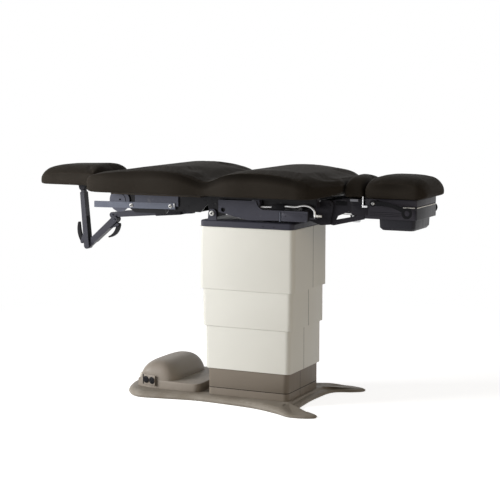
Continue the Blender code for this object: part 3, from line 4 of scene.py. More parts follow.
import bmesh
import bpy
import numpy as np
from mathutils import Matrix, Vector


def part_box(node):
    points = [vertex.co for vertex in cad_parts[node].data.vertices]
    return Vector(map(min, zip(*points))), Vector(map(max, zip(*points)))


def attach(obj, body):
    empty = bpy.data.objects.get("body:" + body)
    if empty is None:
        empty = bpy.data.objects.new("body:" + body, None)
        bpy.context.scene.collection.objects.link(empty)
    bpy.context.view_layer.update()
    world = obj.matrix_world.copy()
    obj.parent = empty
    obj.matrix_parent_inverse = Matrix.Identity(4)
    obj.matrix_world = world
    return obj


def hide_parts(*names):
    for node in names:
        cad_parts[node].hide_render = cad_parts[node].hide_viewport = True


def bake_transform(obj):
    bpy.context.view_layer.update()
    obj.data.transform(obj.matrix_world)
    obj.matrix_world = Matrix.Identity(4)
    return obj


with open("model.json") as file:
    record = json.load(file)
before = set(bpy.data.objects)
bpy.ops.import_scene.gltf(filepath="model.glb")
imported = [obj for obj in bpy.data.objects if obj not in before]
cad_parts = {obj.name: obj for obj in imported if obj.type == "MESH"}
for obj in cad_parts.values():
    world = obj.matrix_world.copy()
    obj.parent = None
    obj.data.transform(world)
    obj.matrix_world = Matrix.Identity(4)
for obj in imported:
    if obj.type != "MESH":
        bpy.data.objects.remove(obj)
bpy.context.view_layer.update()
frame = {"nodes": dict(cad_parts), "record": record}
nodes = frame["nodes"]
body_of_node = {}
for carrier, members in frame["record"]["behaviour"]["bodies"].items():
    body_of_node.update(dict.fromkeys(members, carrier))

# Places on the table in metres; -Y is the near side and +X the foot end
PAD_FOOT = 1.000        # underside of the seat and back upholstery
LIFT = 0.0002           # plates and bolts start this far off their faces
SIDES = (("near", -1), ("far", 1))


# Camera

CAMERA_AIM = Vector((-0.0593, -0.0281, 0.7215))
CAMERA_AZIMUTH = math.radians(25.3355)
CAMERA_PITCH = math.radians(6.932)
CAMERA_DISTANCE = 7.0
CAMERA_LENS = 104.165
CAMERA_SENSOR = 36.0


def place_camera():
    """The camera on a sphere about its aim, at the photograph's azimuth and pitch."""
    level = math.cos(CAMERA_PITCH)
    away = Vector((
        math.sin(CAMERA_AZIMUTH) * level, -math.cos(CAMERA_AZIMUTH) * level, math.sin(CAMERA_PITCH),
    ))
    data = bpy.data.cameras.new("photo_camera")
    data.lens = CAMERA_LENS
    data.sensor_width = CAMERA_SENSOR
    camera = bpy.data.objects.new("photo_camera", data)
    camera.location = CAMERA_AIM + away * CAMERA_DISTANCE
    camera.rotation_euler = (-away).to_track_quat("-Z", "Y").to_euler()
    bpy.context.scene.collection.objects.link(camera)
    bpy.context.scene.camera = camera


# Curves in numbers

def flow(table):
    """A smooth line through a table of places and values: cubic pieces whose slopes are the central
    differences."""
    at, value = np.array(table, float).T
    slope = np.gradient(value, at)

    def run(x):
        x = np.clip(x, at[0], at[-1])
        i = np.clip(np.searchsorted(at, x, side="right") - 1, 0, len(at) - 2)
        wide = at[i + 1] - at[i]
        t = (x - at[i]) / wide
        start = value[i] * (1 + 2 * t) * (1 - t) ** 2 + slope[i] * wide * t * (1 - t) ** 2
        return start + value[i + 1] * t**2 * (3 - 2 * t) + slope[i + 1] * wide * t**2 * (t - 1)

    return run


def ease(x):
    """A soft step from 0 to 1: three times the square less twice the cube."""
    x = np.clip(x, 0, 1)
    return x * x * (3 - 2 * x)


def closed_curve(points, per_span):
    """A closed curve through points: on each span the cubic whose end slopes are half the chord of the
    neighbours."""
    p = np.array(points, float)
    before, after, beyond = np.roll(p, 1, 0), np.roll(p, -1, 0), np.roll(p, -2, 0)
    t = (np.arange(per_span) / per_span)[None, :, None]
    first, second = (after - before)[:, None] / 2, (beyond - p)[:, None] / 2
    p, after = p[:, None], after[:, None]
    curve = p * (1 + 2 * t) * (1 - t) ** 2 + first * t * (1 - t) ** 2
    curve = curve + after * t**2 * (3 - 2 * t) + second * t**2 * (t - 1)
    return curve.reshape(-1, 2)


def drawn_in(outline, distance):
    """A closed outline moved inwards: each point goes along the turned chord of its two neighbours."""
    chord = np.roll(outline, -1, 0) - np.roll(outline, 1, 0)
    normal = np.stack([-chord[:, 1], chord[:, 0]], 1) / np.linalg.norm(chord, axis=1)[:, None]
    turn = np.sum(outline[:, 0] * np.roll(outline[:, 1], -1) - outline[:, 1] * np.roll(outline[:, 0], -1))
    return outline + normal * distance * np.sign(turn)


def round_corners(points, radius, count=5):
    """A closed polygon with round corners: each corner becomes the parabola between two tangent points."""
    p = np.array(points, float)
    back, ahead = np.roll(p, 1, 0) - p, np.roll(p, -1, 0) - p
    reach = np.broadcast_to(np.asarray(radius, float), (len(p),))[:, None]
    start = p + back / np.linalg.norm(back, axis=1)[:, None] * reach
    end = p + ahead / np.linalg.norm(ahead, axis=1)[:, None] * reach
    t = np.linspace(0, 1, count)[None, :, None]
    curve = start[:, None] * (1 - t) ** 2 + p[:, None] * 2 * t * (1 - t) + end[:, None] * t**2
    return curve.reshape(-1, 2)


# Meshes

def place_mesh(name, points, faces, material, angle=40.0):
    """An object over points and faces, with doubles merged, faces turned outwards and soft shading."""
    mesh = bpy.data.meshes.new(name)
    mesh.from_pydata(np.asarray(points).reshape(-1, 3).tolist(), [], faces)
    work = bmesh.new()
    work.from_mesh(mesh)
    bmesh.ops.remove_doubles(work, verts=work.verts, dist=1e-6)
    bmesh.ops.recalc_face_normals(work, faces=work.faces)
    work.to_mesh(mesh)
    work.free()
    mesh.shade_smooth()
    mesh.set_sharp_from_angle(angle=math.radians(angle))
    mesh.materials.append(material)
    obj = bpy.data.objects.new(name, mesh)
    bpy.context.scene.collection.objects.link(obj)
    return obj


def grid_faces(rows, columns):
    """The four-sided faces of a grid whose rows each close on themselves."""
    index = np.arange(rows * columns).reshape(rows, columns)
    index = np.hstack([index, index[:, :1]])
    quads = np.stack([index[:-1, :-1], index[:-1, 1:], index[1:, 1:], index[1:, :-1]], -1)
    return quads.reshape(-1, 4).tolist()


def ring_piece(name, rings, material, angle=40.0):
    """A skin over rings of points; each of the two end rings gets a flat face."""
    rings = np.asarray(rings, float)
    rows, columns = rings.shape[:2]
    faces = grid_faces(rows, columns)
    faces.append(list(range(columns)))
    faces.append(list(range((rows - 1) * columns, rows * columns)))
    return place_mesh(name, rings, faces, material, angle)


PLATE_EDGE = 0.0006     # rounding of a thin plate's edge


def face_plate(name, outline, centre, run, out, thick, material):
    """A thin plate on a face: an outline across the face, raised by its thickness, drawn in at its edge."""
    run, out = Vector(run).normalized(), Vector(out).normalized()
    rise = out.cross(run) if out.cross(run).z >= 0 else run.cross(out)
    across, up, away = np.array(run), np.array(rise), np.array(out)
    edge = min(PLATE_EDGE, 0.4 * thick)
    outline = np.array(outline, float)
    rings = []
    for height, inset in ((0.0, 0.0), (thick - edge, 0.0), (thick - 0.3 * edge, 0.3 * edge), (thick, edge)):
        shape = drawn_in(outline, inset)
        rings.append(np.asarray(centre) + shape[:, :1] * across + shape[:, 1:] * up + height * away)
    return ring_piece(name, rings, material, angle=30.0)


def rectangle(wide, high, corner):
    """An upright rectangle with round corners about the origin."""
    a, b = wide / 2, high / 2
    return round_corners(((-a, -b), (a, -b), (a, b), (-a, b)), corner)


def turned(name, profile, centre, axis, material, sides=28):
    """A turned piece: a profile of radius and height, carried round an axis, with both ends on the axis."""
    profile = np.array(profile, float)
    axis = Vector(axis).normalized()
    side = axis.orthogonal().normalized()
    other = axis.cross(side)
    angles = np.arange(sides) * math.tau / sides
    around = np.outer(np.cos(angles), side) + np.outer(np.sin(angles), other)
    middles = np.asarray(centre) + profile[:, 1:] * np.array(axis)
    rings = middles[:, None] + profile[:, :1, None] * around[None]
    return place_mesh(name, rings, grid_faces(len(profile), sides), material, angle=35.0)


def swept_tube(name, path, radius, material, sides=16):
    """A tube along a path in an upright plane: round sections turned with the path, closed at both ends."""
    path = np.array(path, float)
    run = np.gradient(path, axis=0)
    run = run / np.linalg.norm(run, axis=1)[:, None]
    side = np.array((0.0, 1.0, 0.0))
    rise = np.cross(run, side)
    angles = np.arange(sides) * math.tau / sides
    around = np.cos(angles)[None, :, None] * side + np.sin(angles)[None, :, None] * rise[:, None]
    return ring_piece(name, path[:, None] + radius * around, material)


# Shared effects, as shader groups

def new_group(name, inputs, outputs):
    """An empty shader group with its sockets; inputs give a kind and a value, outputs a kind."""
    tree = bpy.data.node_groups.new(name, "ShaderNodeTree")
    for label, kind, value in inputs:
        socket = tree.interface.new_socket(label, in_out="INPUT", socket_type=kind)
        socket.default_value = value
    for label, kind in outputs:
        tree.interface.new_socket(label, in_out="OUTPUT", socket_type=kind)
    return tree, tree.nodes.new("NodeGroupInput"), tree.nodes.new("NodeGroupOutput")


def add_node(tree, kind, links=(), **values):
    """A node with values on it; links pair one of its inputs with the output that feeds it."""
    node = tree.nodes.new(kind)
    for label, value in values.items():
        setattr(node, label, value)
    for label, source in links:
        if isinstance(source, (int, float, tuple)):
            node.inputs[label].default_value = source
        else:
            tree.links.new(source, node.inputs[label])
    return node


def noise(tree, where, scale, detail=3.0, rough=0.55):
    """A noise in three dimensions, from 0 to 1."""
    links = [("Vector", where), ("Scale", scale), ("Detail", detail), ("Roughness", rough)]
    return add_node(tree, "ShaderNodeTexNoise", links).outputs["Fac"]


def remap(tree, value, low, high, to_low, to_high, smooth=False):
    """A value carried from one range to another."""
    links = [
        ("Value", value), ("From Min", low), ("From Max", high), ("To Min", to_low), ("To Max", to_high),
    ]
    kind = "SMOOTHSTEP" if smooth else "LINEAR"
    return add_node(tree, "ShaderNodeMapRange", links, interpolation_type=kind).outputs["Result"]


def maths(tree, kind, first, second):
    """One step of arithmetic."""
    return add_node(tree, "ShaderNodeMath", [(0, first), (1, second)], operation=kind).outputs[0]


def tint(tree, colour, factor):
    """A colour made lighter or darker by a factor."""
    node = add_node(tree, "ShaderNodeVectorMath", [(0, colour), ("Scale", factor)], operation="SCALE")
    return node.outputs[0]


def mixed(tree, factor, first, second):
    """Two colours mixed by a factor; the node's sockets for colours are the numbered ones."""
    links = [(0, factor), (6, first), (7, second)]
    return add_node(tree, "ShaderNodeMix", links, data_type="RGBA").outputs[2]


def surface_group(name, extra=()):
    """A group with the sockets of every finish here: colour and gloss in; colour, roughness, height out."""
    inputs = [
        ("Colour", "NodeSocketColor", (0.5, 0.5, 0.5, 1)), ("Gloss", "NodeSocketFloat", 0.5),
        ("Variation", "NodeSocketFloat", 0.06), ("Scale", "NodeSocketFloat", 400.0), *extra,
    ]
    outputs = [
        ("Colour", "NodeSocketColor"), ("Roughness", "NodeSocketFloat"), ("Height", "NodeSocketFloat"),
    ]
    tree, given, out = new_group(name, inputs, outputs)
    where = tree.nodes.new("ShaderNodeTexCoord").outputs["Object"]
    return tree, given.outputs, out.inputs, where


def drifted(tree, given, where, scale, detail):
    """A tone about 1 that drifts slowly by the group's variation."""
    drift = remap(tree, noise(tree, where, scale, detail), 0.3, 0.7, -1.0, 1.0)
    return maths(tree, "ADD", maths(tree, "MULTIPLY", drift, given["Variation"]), 1.0)


def send(tree, out, colour, rough, height):
    """Joins a finish's three results to the group's outputs."""
    tree.links.new(colour, out["Colour"])
    tree.links.new(rough, out["Roughness"])
    tree.links.new(height, out["Height"])


def powder_coat_group():
    """Powder coat: broad drifts of tone, fine orange peel, and a few pale rubs where the gloss changes."""
    tree, given, out, where = surface_group("powder_coat")
    tone = drifted(tree, given, where, 3.0, 4.0)
    speck = remap(tree, noise(tree, where, 900.0, 1.0), 0.35, 0.65, 0.93, 1.07)
    colour = tint(tree, given["Colour"], maths(tree, "MULTIPLY", tone, speck))
    rub = remap(tree, noise(tree, where, 14.0, 6.0, 0.65), 0.60, 0.72, 0.0, 1.0, smooth=True)
    colour = mixed(tree, maths(tree, "MULTIPLY", rub, 0.10), colour, (0.55, 0.54, 0.52, 1))
    sheen = remap(tree, noise(tree, where, 22.0), 0.3, 0.7, 0.86, 1.16)
    gloss = maths(tree, "MULTIPLY", given["Gloss"], sheen)
    peel = noise(tree, where, given["Scale"], 2.0)
    send(tree, out, colour, maths(tree, "ADD", gloss, maths(tree, "MULTIPLY", rub, 0.08)), peel)
    return tree


def moulded_grain_group():
    """Moulded plastic: a pebbled grain, slow drifts of tone, and faint upright wipe marks in the gloss."""
    tree, given, out, where = surface_group("moulded_grain")
    tone = drifted(tree, given, where, 2.2, 3.0)
    pebble = add_node(tree, "ShaderNodeTexVoronoi", [("Vector", where), ("Scale", given["Scale"])])
    pebble.feature = "SMOOTH_F1"
    grain = pebble.outputs["Distance"]
    tone = maths(tree, "MULTIPLY", tone, remap(tree, grain, 0.0, 0.8, 0.985, 1.02))
    colour = tint(tree, given["Colour"], tone)
    wiped = add_node(tree, "ShaderNodeMapping", [("Vector", where), ("Scale", (60.0, 60.0, 4.0))])
    wipe = remap(tree, noise(tree, wiped.outputs[0], 1.0, 4.0), 0.3, 0.7, 0.90, 1.12)
    send(tree, out, colour, maths(tree, "MULTIPLY", given["Gloss"], wipe), grain)
    return tree


def vinyl_group():
    """Upholstery vinyl: small cells with sunk borders, a slow drift of tone, worn and glossier patches, and a
    painted shade band where the seam attribute is high, standing for the shadow in the sewn furrow."""
    tree, given, out, where = surface_group("upholstery_vinyl")
    bend = add_node(tree, "ShaderNodeTexNoise", [("Vector", where), ("Scale", 120.0), ("Detail", 2.0)])
    shift = tint(tree, bend.outputs["Color"], 0.0016)
    moved = add_node(tree, "ShaderNodeVectorMath", [(0, where), (1, shift)], operation="ADD")
    cell = add_node(tree, "ShaderNodeTexVoronoi", [("Vector", moved.outputs[0]), ("Scale", given["Scale"])])
    cell.feature = "DISTANCE_TO_EDGE"
    border = remap(tree, cell.outputs["Distance"], 0.0, 0.16, 0.0, 1.0, smooth=True)
    tone = drifted(tree, given, where, 4.0, 4.0)
    tone = maths(tree, "MULTIPLY", tone, remap(tree, border, 0.0, 1.0, 0.72, 1.03))
    # Painted shade: the tone falls to 0.45 along the sewn line, for the shadow in its furrow
    sewn = add_node(tree, "ShaderNodeAttribute", attribute_name="seam").outputs["Fac"]
    tone = maths(tree, "MULTIPLY", tone, remap(tree, sewn, 0.0, 1.0, 1.0, 0.45))
    worn = remap(tree, noise(tree, where, 6.5, 5.0, 0.6), 0.52, 0.70, 1.0, 0.84, smooth=True)
    height = maths(tree, "ADD", border, maths(tree, "MULTIPLY", noise(tree, where, 60.0, 3.0), 0.8))
    gloss = maths(tree, "MULTIPLY", given["Gloss"], worn)
    send(tree, out, tint(tree, given["Colour"], tone), gloss, height)
    return tree


def drawn_metal_group():
    """Drawn or brushed metal: fine lines along one axis in tone, gloss and height, and dull blooms."""
    extra = (("Along", "NodeSocketVector", (6.0, 700.0, 700.0)),)
    tree, given, out, where = surface_group("drawn_metal", extra)
    scaled = add_node(tree, "ShaderNodeVectorMath", [(0, where), (1, given["Along"])], operation="MULTIPLY")
    line = noise(tree, scaled.outputs[0], 1.0, 4.0, 0.6)
    bloom = remap(tree, noise(tree, where, 9.0, 5.0), 0.35, 0.65, -1.0, 1.0)
    tone = maths(tree, "ADD", maths(tree, "MULTIPLY", bloom, given["Variation"]), 1.0)
    tone = maths(tree, "MULTIPLY", tone, remap(tree, line, 0.3, 0.7, 0.92, 1.06))
    gloss = maths(tree, "MULTIPLY", given["Gloss"], remap(tree, line, 0.3, 0.7, 0.85, 1.2))
    gloss = maths(tree, "ADD", gloss, maths(tree, "MULTIPLY", bloom, 0.03))
    fine = noise(tree, where, given["Scale"], 1.0)
    height = maths(tree, "ADD", line, maths(tree, "MULTIPLY", fine, 0.3))
    send(tree, out, tint(tree, given["Colour"], tone), gloss, height)
    return tree


def floor_dust_group():
    """Dust and shoe marks near the floor: both fade out with height; the marks are short slanting streaks."""
    inputs = [
        ("Colour", "NodeSocketColor", (0.5, 0.5, 0.5, 1)), ("Roughness", "NodeSocketFloat", 0.5),
        ("Amount", "NodeSocketFloat", 0.3),
    ]
    outputs = [("Colour", "NodeSocketColor"), ("Roughness", "NodeSocketFloat")]
    tree, given, out = new_group("floor_dust", inputs, outputs)
    where = tree.nodes.new("ShaderNodeTexCoord").outputs["Object"]
    height = add_node(tree, "ShaderNodeSeparateXYZ", [(0, where)]).outputs[2]
    low = remap(tree, height, 0.02, 0.14, 1.0, 0.0, smooth=True)
    cloud = remap(tree, noise(tree, where, 11.0, 6.0, 0.65), 0.40, 0.70, 0.0, 1.0, smooth=True)
    turned_way = add_node(tree, "ShaderNodeMapping", [("Vector", where), ("Scale", (16.0, 16.0, 110.0))])
    turned_way.inputs["Rotation"].default_value = (0.35, 0.25, 0.6)
    streak = remap(tree, noise(tree, turned_way.outputs[0], 1.0, 3.0), 0.66, 0.72, 0.0, 1.0, smooth=True)
    amount = maths(tree, "MULTIPLY", low, given.outputs["Amount"])
    share = maths(tree, "MULTIPLY", maths(tree, "ADD", cloud, streak), amount)
    colour = mixed(tree, share, given.outputs["Colour"], (0.40, 0.37, 0.33, 1))
    tree.links.new(colour, out.inputs["Colour"])
    rough = maths(tree, "ADD", given.outputs["Roughness"], maths(tree, "MULTIPLY", share, 0.35))
    tree.links.new(rough, out.inputs["Roughness"])
    return tree


powder_coat = powder_coat_group()
moulded_grain = moulded_grain_group()
vinyl_hide = vinyl_group()
drawn_metal = drawn_metal_group()
floor_dust = floor_dust_group()


PEEL = (0.25, 0.0004)           # strength and distance of a bump
PEBBLE = (0.18, 0.0003)
DULL = {"Specular IOR Level": 0.07}
SATIN = {"Specular IOR Level": 0.15}


def finish(
    name, group, colour, gloss, bump, variation=0.06, scale=400.0, metal=0.0, dust=0.0, along=None, shader=(),
):
    """A material: one of the groups above for colour, gloss and bump, and constants on the shader itself."""
    material = bpy.data.materials.new(name)
    material.use_nodes = True
    tree = material.node_tree
    principled = tree.nodes["Principled BSDF"]
    for label, value in {"Metallic": metal, **dict(shader)}.items():
        principled.inputs[label].default_value = value
    film = tree.nodes.new("ShaderNodeGroup")
    film.node_tree = group
    values = {"Colour": (*colour, 1), "Gloss": gloss, "Variation": variation, "Scale": scale}
    if along:
        values["Along"] = along
    for label, value in values.items():
        film.inputs[label].default_value = value
    last = film
    if dust:
        last = tree.nodes.new("ShaderNodeGroup")
        last.node_tree = floor_dust
        last.inputs["Amount"].default_value = dust
        tree.links.new(film.outputs["Colour"], last.inputs["Colour"])
        tree.links.new(film.outputs["Roughness"], last.inputs["Roughness"])
    relief = tree.nodes.new("ShaderNodeBump")
    relief.inputs["Strength"].default_value = bump[0]
    relief.inputs["Distance"].default_value = bump[1]
    tree.links.new(film.outputs["Height"], relief.inputs["Height"])
    tree.links.new(last.outputs["Colour"], principled.inputs["Base Color"])
    tree.links.new(last.outputs["Roughness"], principled.inputs["Roughness"])
    tree.links.new(relief.outputs["Normal"], principled.inputs["Normal"])
    return material


def paint(name, colour, gloss, scale=450.0, dust=0.0, shader=SATIN):
    """Powder coat on sheet metal."""
    return finish(name, powder_coat, colour, gloss, PEEL, scale=scale, dust=dust, shader=shader)


def moulding(name, colour, gloss, scale=900.0, **more):
    """Moulded plastic."""
    return finish(name, moulded_grain, colour, gloss, PEBBLE, scale=scale, **more)


taupe_plate = paint("taupe_plate", (0.215, 0.188, 0.154), 0.48, scale=500.0, dust=0.28)
taupe_shell = moulding("taupe_shell", (0.250, 0.218, 0.184), 0.42, dust=0.12, shader=SATIN)
skirt_shell = moulding("skirt_shell", (0.192, 0.164, 0.133), 0.45, dust=0.05, shader=SATIN)
cream_shell = moulding("cream_shell", (0.625, 0.615, 0.560), 0.40, variation=0.025)
cream_cap = moulding("cream_cap", (0.540, 0.515, 0.465), 0.42, variation=0.03, dust=0.2)
plate_shell = moulding("plate_shell", (0.036, 0.036, 0.049), 0.38, shader=SATIN)
link_paint = paint("link_paint", (0.031, 0.031, 0.041), 0.36)
grey_paint = paint("grey_paint", (0.042, 0.042, 0.055), 0.36)
post_paint = paint("post_paint", (0.066, 0.069, 0.091), 0.36)
rail_paint = paint("rail_paint", (0.105, 0.114, 0.146), 0.32)
# Painted highlight: pale grey for the tab on top of the foot frame's arm, standing for the highlight there
arm_highlight_grey = paint("arm_highlight_grey", (0.30, 0.31, 0.35), 0.34)
charcoal_paint = paint("charcoal_paint", (0.022, 0.021, 0.026), 0.38, shader=DULL)
pan_paint = paint("pan_paint", (0.0055, 0.0052, 0.0065), 0.30)
black_plastic = moulding("black_plastic", (0.010, 0.0095, 0.011), 0.42, scale=1100.0, shader=DULL)
box_plastic = moulding("box_plastic", (0.026, 0.024, 0.031), 0.40, scale=1100.0, shader=SATIN)
tray_plastic = moulding("tray_plastic", (0.018, 0.018, 0.023), 0.38, scale=1100.0, shader=SATIN)
# Near-black: dark joints and small dark parts, and painted shade in slots, slits, bolt sockets, recesses and
# grooves
dark_gap = moulding("dark_gap", (0.005, 0.005, 0.006), 0.60, scale=1100.0, shader=DULL)
hose_end = moulding("hose_end", (0.70, 0.69, 0.66), 0.38, variation=0.03)
bright_steel = finish(
    "bright_steel", drawn_metal, (0.62, 0.62, 0.63), 0.24, (0.06, 0.0002), metal=1.0, scale=900.0,
)
plated_steel = finish(
    "plated_steel", drawn_metal, (0.44, 0.435, 0.425), 0.40, (0.08, 0.0002), metal=1.0, variation=0.12,
    along=(40.0, 40.0, 40.0),
)
cast_case = finish(
    "cast_case", powder_coat, (0.12, 0.122, 0.13), 0.45, (0.35, 0.0004), scale=700.0, metal=0.4,
)
ply_board = finish(
    "ply_board", drawn_metal, (0.050, 0.041, 0.033), 0.70, (0.20, 0.0005), variation=0.10,
    along=(30.0, 30.0, 900.0), shader=DULL,
)
vinyl = finish(
    "upholstery_vinyl", vinyl_hide, (0.0245, 0.0203, 0.0160), 0.58, (0.20, 0.0005), variation=0.10,
    scale=620.0, shader={"Specular IOR Level": 0.02},
)
hose_skin = finish(
    "hose_skin", drawn_metal, (0.55, 0.55, 0.55), 0.36, (0.30, 0.0006), metal=0.7, along=(900.0, 60.0, 900.0),
)

# The slot in which a fitting of each finish goes
FINISH_OF = {           # by a node's name without its side
    "receptacle_panel": taupe_shell, "cord_inlet": cream_cap, "power_supply": plated_steel,
    "skirt": skirt_shell, "column_fixed_tube": charcoal_paint, "lift_cylinder": cast_case,
    "column_mid_tube": charcoal_paint, "lift_stage": bright_steel, "cover_lower": cream_shell,
    "cover_mid": cream_shell, "column_inner_tube": charcoal_paint, "lift_ram": bright_steel,
    "cover_upper": cream_shell, "top_plate": plate_shell, "tilt_lug": grey_paint, "tilt_actuator": cast_case,
    "tilt_actuator_rod": bright_steel, "seat_side": grey_paint, "seat_cross": grey_paint,
    "seat_rear_beam": charcoal_paint, "seat_pan": pan_paint, "back_actuator": cast_case,
    "foot_actuator": cast_case, "back_actuator_rod": bright_steel, "foot_actuator_rod": bright_steel,
    "back_pan": pan_paint, "back_rail": post_paint, "back_board": ply_board, "head_guide": charcoal_paint,
    "head_slide_bar": link_paint, "head_link_lower": link_paint, "head_link_upper": link_paint,
    "head_lever_lower": black_plastic, "head_lever_upper": black_plastic, "head_bracket": charcoal_paint,
    "foot_frame": charcoal_paint, "extension_rail": bright_steel, "foot_box": box_plastic,
    "leg_board": box_plastic, "treatment_tray": tray_plastic, "stirrup": dark_gap,
}
RAIL_FACE = 0.1990      # the rails' outer faces lie beyond this Y, their bearers and posts before it
GUSSET_FACE = 0.2055    # the seat's hinge gussets lie inside this Y, its side plates outside; the gussets' faces take the near-black pan paint as painted shade
SKIRT_GROOVE = (0.0665, 0.0016)     # height of the groove round the skirt, and half its width; faces in it get the near-black gap material as painted shade
SECOND_FINISH = {
    "back_rail": (rail_paint, lambda at: np.abs(at[:, 1]) > RAIL_FACE),
    # painted shade: the seat frame's faces inside the gusset face are near-black, so that its holes read dark
    "seat_side": (pan_paint, lambda at: np.abs(at[:, 1]) < GUSSET_FACE),
    # painted shade: the skirt's faces along its groove are near-black
    "skirt": (dark_gap, lambda at: np.abs(at[:, 2] - SKIRT_GROOVE[0]) < SKIRT_GROOVE[1]),
}
INNER_NODES = (
    "power_supply", "column_fixed_tube", "lift_cylinder", "column_mid_tube", "lift_stage",
    "column_inner_tube", "lift_ram",
)
EDGE_WIDTH = 0.0010     # rounding of a rigid node's edges
EDGE_ANGLE = math.radians(32)
FLAT_ANGLE = math.radians(0.4)


# The rigid nodes, dressed

def family(node):
    """A node's name without its side."""
    return node.removesuffix("_near").removesuffix("_far")


def paint_faces(mesh, material, test):
    """Gives a second material to the faces whose middles pass a test on their places."""
    middles = np.empty(len(mesh.polygons) * 3)
    mesh.polygons.foreach_get("center", middles)
    mesh.materials.append(material)
    chosen = np.where(test(middles.reshape(-1, 3)), len(mesh.materials) - 1, 0)
    mesh.polygons.foreach_set("material_index", chosen.astype(np.int32))


def dress_node(node):
    """A merged copy of a CAD node with narrow round edges and soft shading, riding on the node's own body."""
    mesh = nodes[node].data.copy()
    mesh.name = node + "_dressed"
    work = bmesh.new()
    work.from_mesh(mesh)
    bmesh.ops.remove_doubles(work, verts=work.verts, dist=1e-5)
    bmesh.ops.dissolve_limit(work, angle_limit=FLAT_ANGLE, verts=work.verts, edges=work.edges)
    bmesh.ops.dissolve_degenerate(work, dist=0.0002, edges=work.edges)
    work.to_mesh(mesh)
    work.free()
    mesh.materials.clear()
    mesh.materials.append(FINISH_OF[family(node)])
    if family(node) in SECOND_FINISH:
        paint_faces(mesh, *SECOND_FINISH[family(node)])
    mesh.shade_smooth()
    mesh.set_sharp_from_angle(angle=EDGE_ANGLE)
    obj = bpy.data.objects.new(node + "_dressed", mesh)
    bpy.context.scene.collection.objects.link(obj)
    edge = obj.modifiers.new("round_edges", "BEVEL")
    edge.width = EDGE_WIDTH
    edge.segments = 2
    edge.limit_method = "ANGLE"
    edge.angle_limit = EDGE_ANGLE
    edge.use_clamp_overlap = True
    edge.harden_normals = True
    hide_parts(node)
    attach(obj, body_of_node[node])


def dress_frame():
    """Inner nodes keep their CAD mesh and take a material; the other nodes with a finish are dressed."""
    for node in body_of_node:
        if node in INNER_NODES:
            nodes[node].data.materials.clear()
            nodes[node].data.materials.append(FINISH_OF[node])
        elif family(node) in FINISH_OF:
            dress_node(node)


# Base

PLATE_POINTS = (
    (0.260, 0.070), (0.281, 0.212), (0.366, 0.262), (0.405, 0.292), (0.411, 0.322), (0.368, 0.350),
    (0.288, 0.359), (0.200, 0.314), (0.075, 0.268), (-0.076, 0.247), (-0.254, 0.237), (-0.410, 0.262),
    (-0.549, 0.279), (-0.634, 0.212), (-0.683, 0.105),
)
PLATE_HEAD = (-0.700, 0.0)
PLATE_THICK = 0.030
PLATE_FOOT = 0.005              # chamfer at the floor
PLATE_HEM = (0.0015, 0.0035)    # inset and height of the chamfer's middle
PLATE_ROUND = (0.030, 0.023)    # width and height of the round edge
LEG_SLOPE = (0.200, 0.300)      # X where the legs begin and end to slope down
LEG_THICK = 0.016
LEG_CORE = 0.02                 # how far the legs' inner outline keeps to their plan
SKIRT_CORE = np.array((0.2235, 0.199))  # half sizes of the flat under the skirt


def make_floor_plate():
    """Outlines drawn in along a quarter ellipse for the round edge, then shrinking towards the flat under the
    skirt; the legs' height falls with a soft step along X."""
    half = np.array(PLATE_POINTS)
    plan = closed_curve(np.vstack([half, [PLATE_HEAD], half[::-1] * (1, -1)]), 10)
    slope = ease((plan[:, 0] - LEG_SLOPE[0]) / (LEG_SLOPE[1] - LEG_SLOPE[0]))
    top = PLATE_THICK - (PLATE_THICK - LEG_THICK) * slope

    def ring(outline, z):
        return np.column_stack([outline, np.broadcast_to(z, len(outline))])

    rings = [ring(drawn_in(plan, PLATE_FOOT), 0.0), ring(drawn_in(plan, PLATE_HEM[0]), PLATE_HEM[1])]
    wide, high = PLATE_ROUND
    for turn in np.radians((0, 15, 30, 45, 60, 75, 90)):
        rise = 1 - high * (1 - math.sin(turn)) / (PLATE_THICK - PLATE_FOOT)
        inset = wide * (1 - math.cos(turn))
        rings.append(ring(drawn_in(plan, inset), PLATE_FOOT + (top - PLATE_FOOT) * rise))
    rim = drawn_in(plan, wide)
    held = np.clip(plan, -SKIRT_CORE, SKIRT_CORE)
    core = np.where(plan[:, :1] > LEG_SLOPE[0], held + LEG_CORE * (plan - held), drawn_in(plan, 2 * wide))
    for share in (0.1, 0.25, 0.45, 0.7, 1.0):
        rings.append(ring(rim + (core - rim) * share, top + (PLATE_THICK - top) * ease(share)))
    plate = ring_piece("floor_plate", rings, taupe_plate, angle=50.0)
    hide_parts("base_plate")
    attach(plate, "base")


HUMP_X = (-0.612, -0.262)
HUMP_Y = (-0.190, 0.226)
LEDGE_Z = 0.070
LEDGE_SQUARE = 13.0             # power of the ledge's superellipse
LEDGE_HEM = (0.996, 0.002)      # scale of the ledge's foot, and height of its hem
LEDGE_ROUND = (0.020, 0.006)    # share of the plan and height of the ledge's round edge
DOME_X = (-0.612, -0.397)
DOME_Y = (-0.206, 0.218)
DOME_RISE = 0.091
DOME_SCALE = (0.985, 0.90)      # the dome's foot in shares of its plan
DOME_POWERS = (0.72, 0.27)      # powers of the cosine by which it narrows in X and in Y
DOME_SQUARE = (5.0, 2.0)        # power of the dome's superellipse, and its loss up to the crown
PANEL_CORNERS = np.array(((-0.6026, -0.164), (-0.4674, -0.200)))
PANEL_RUN = (PANEL_CORNERS[1] - PANEL_CORNERS[0]) / np.linalg.norm(PANEL_CORNERS[1] - PANEL_CORNERS[0])
PANEL_OUT = np.array((PANEL_RUN[1], -PANEL_RUN[0]))     # looks towards -Y


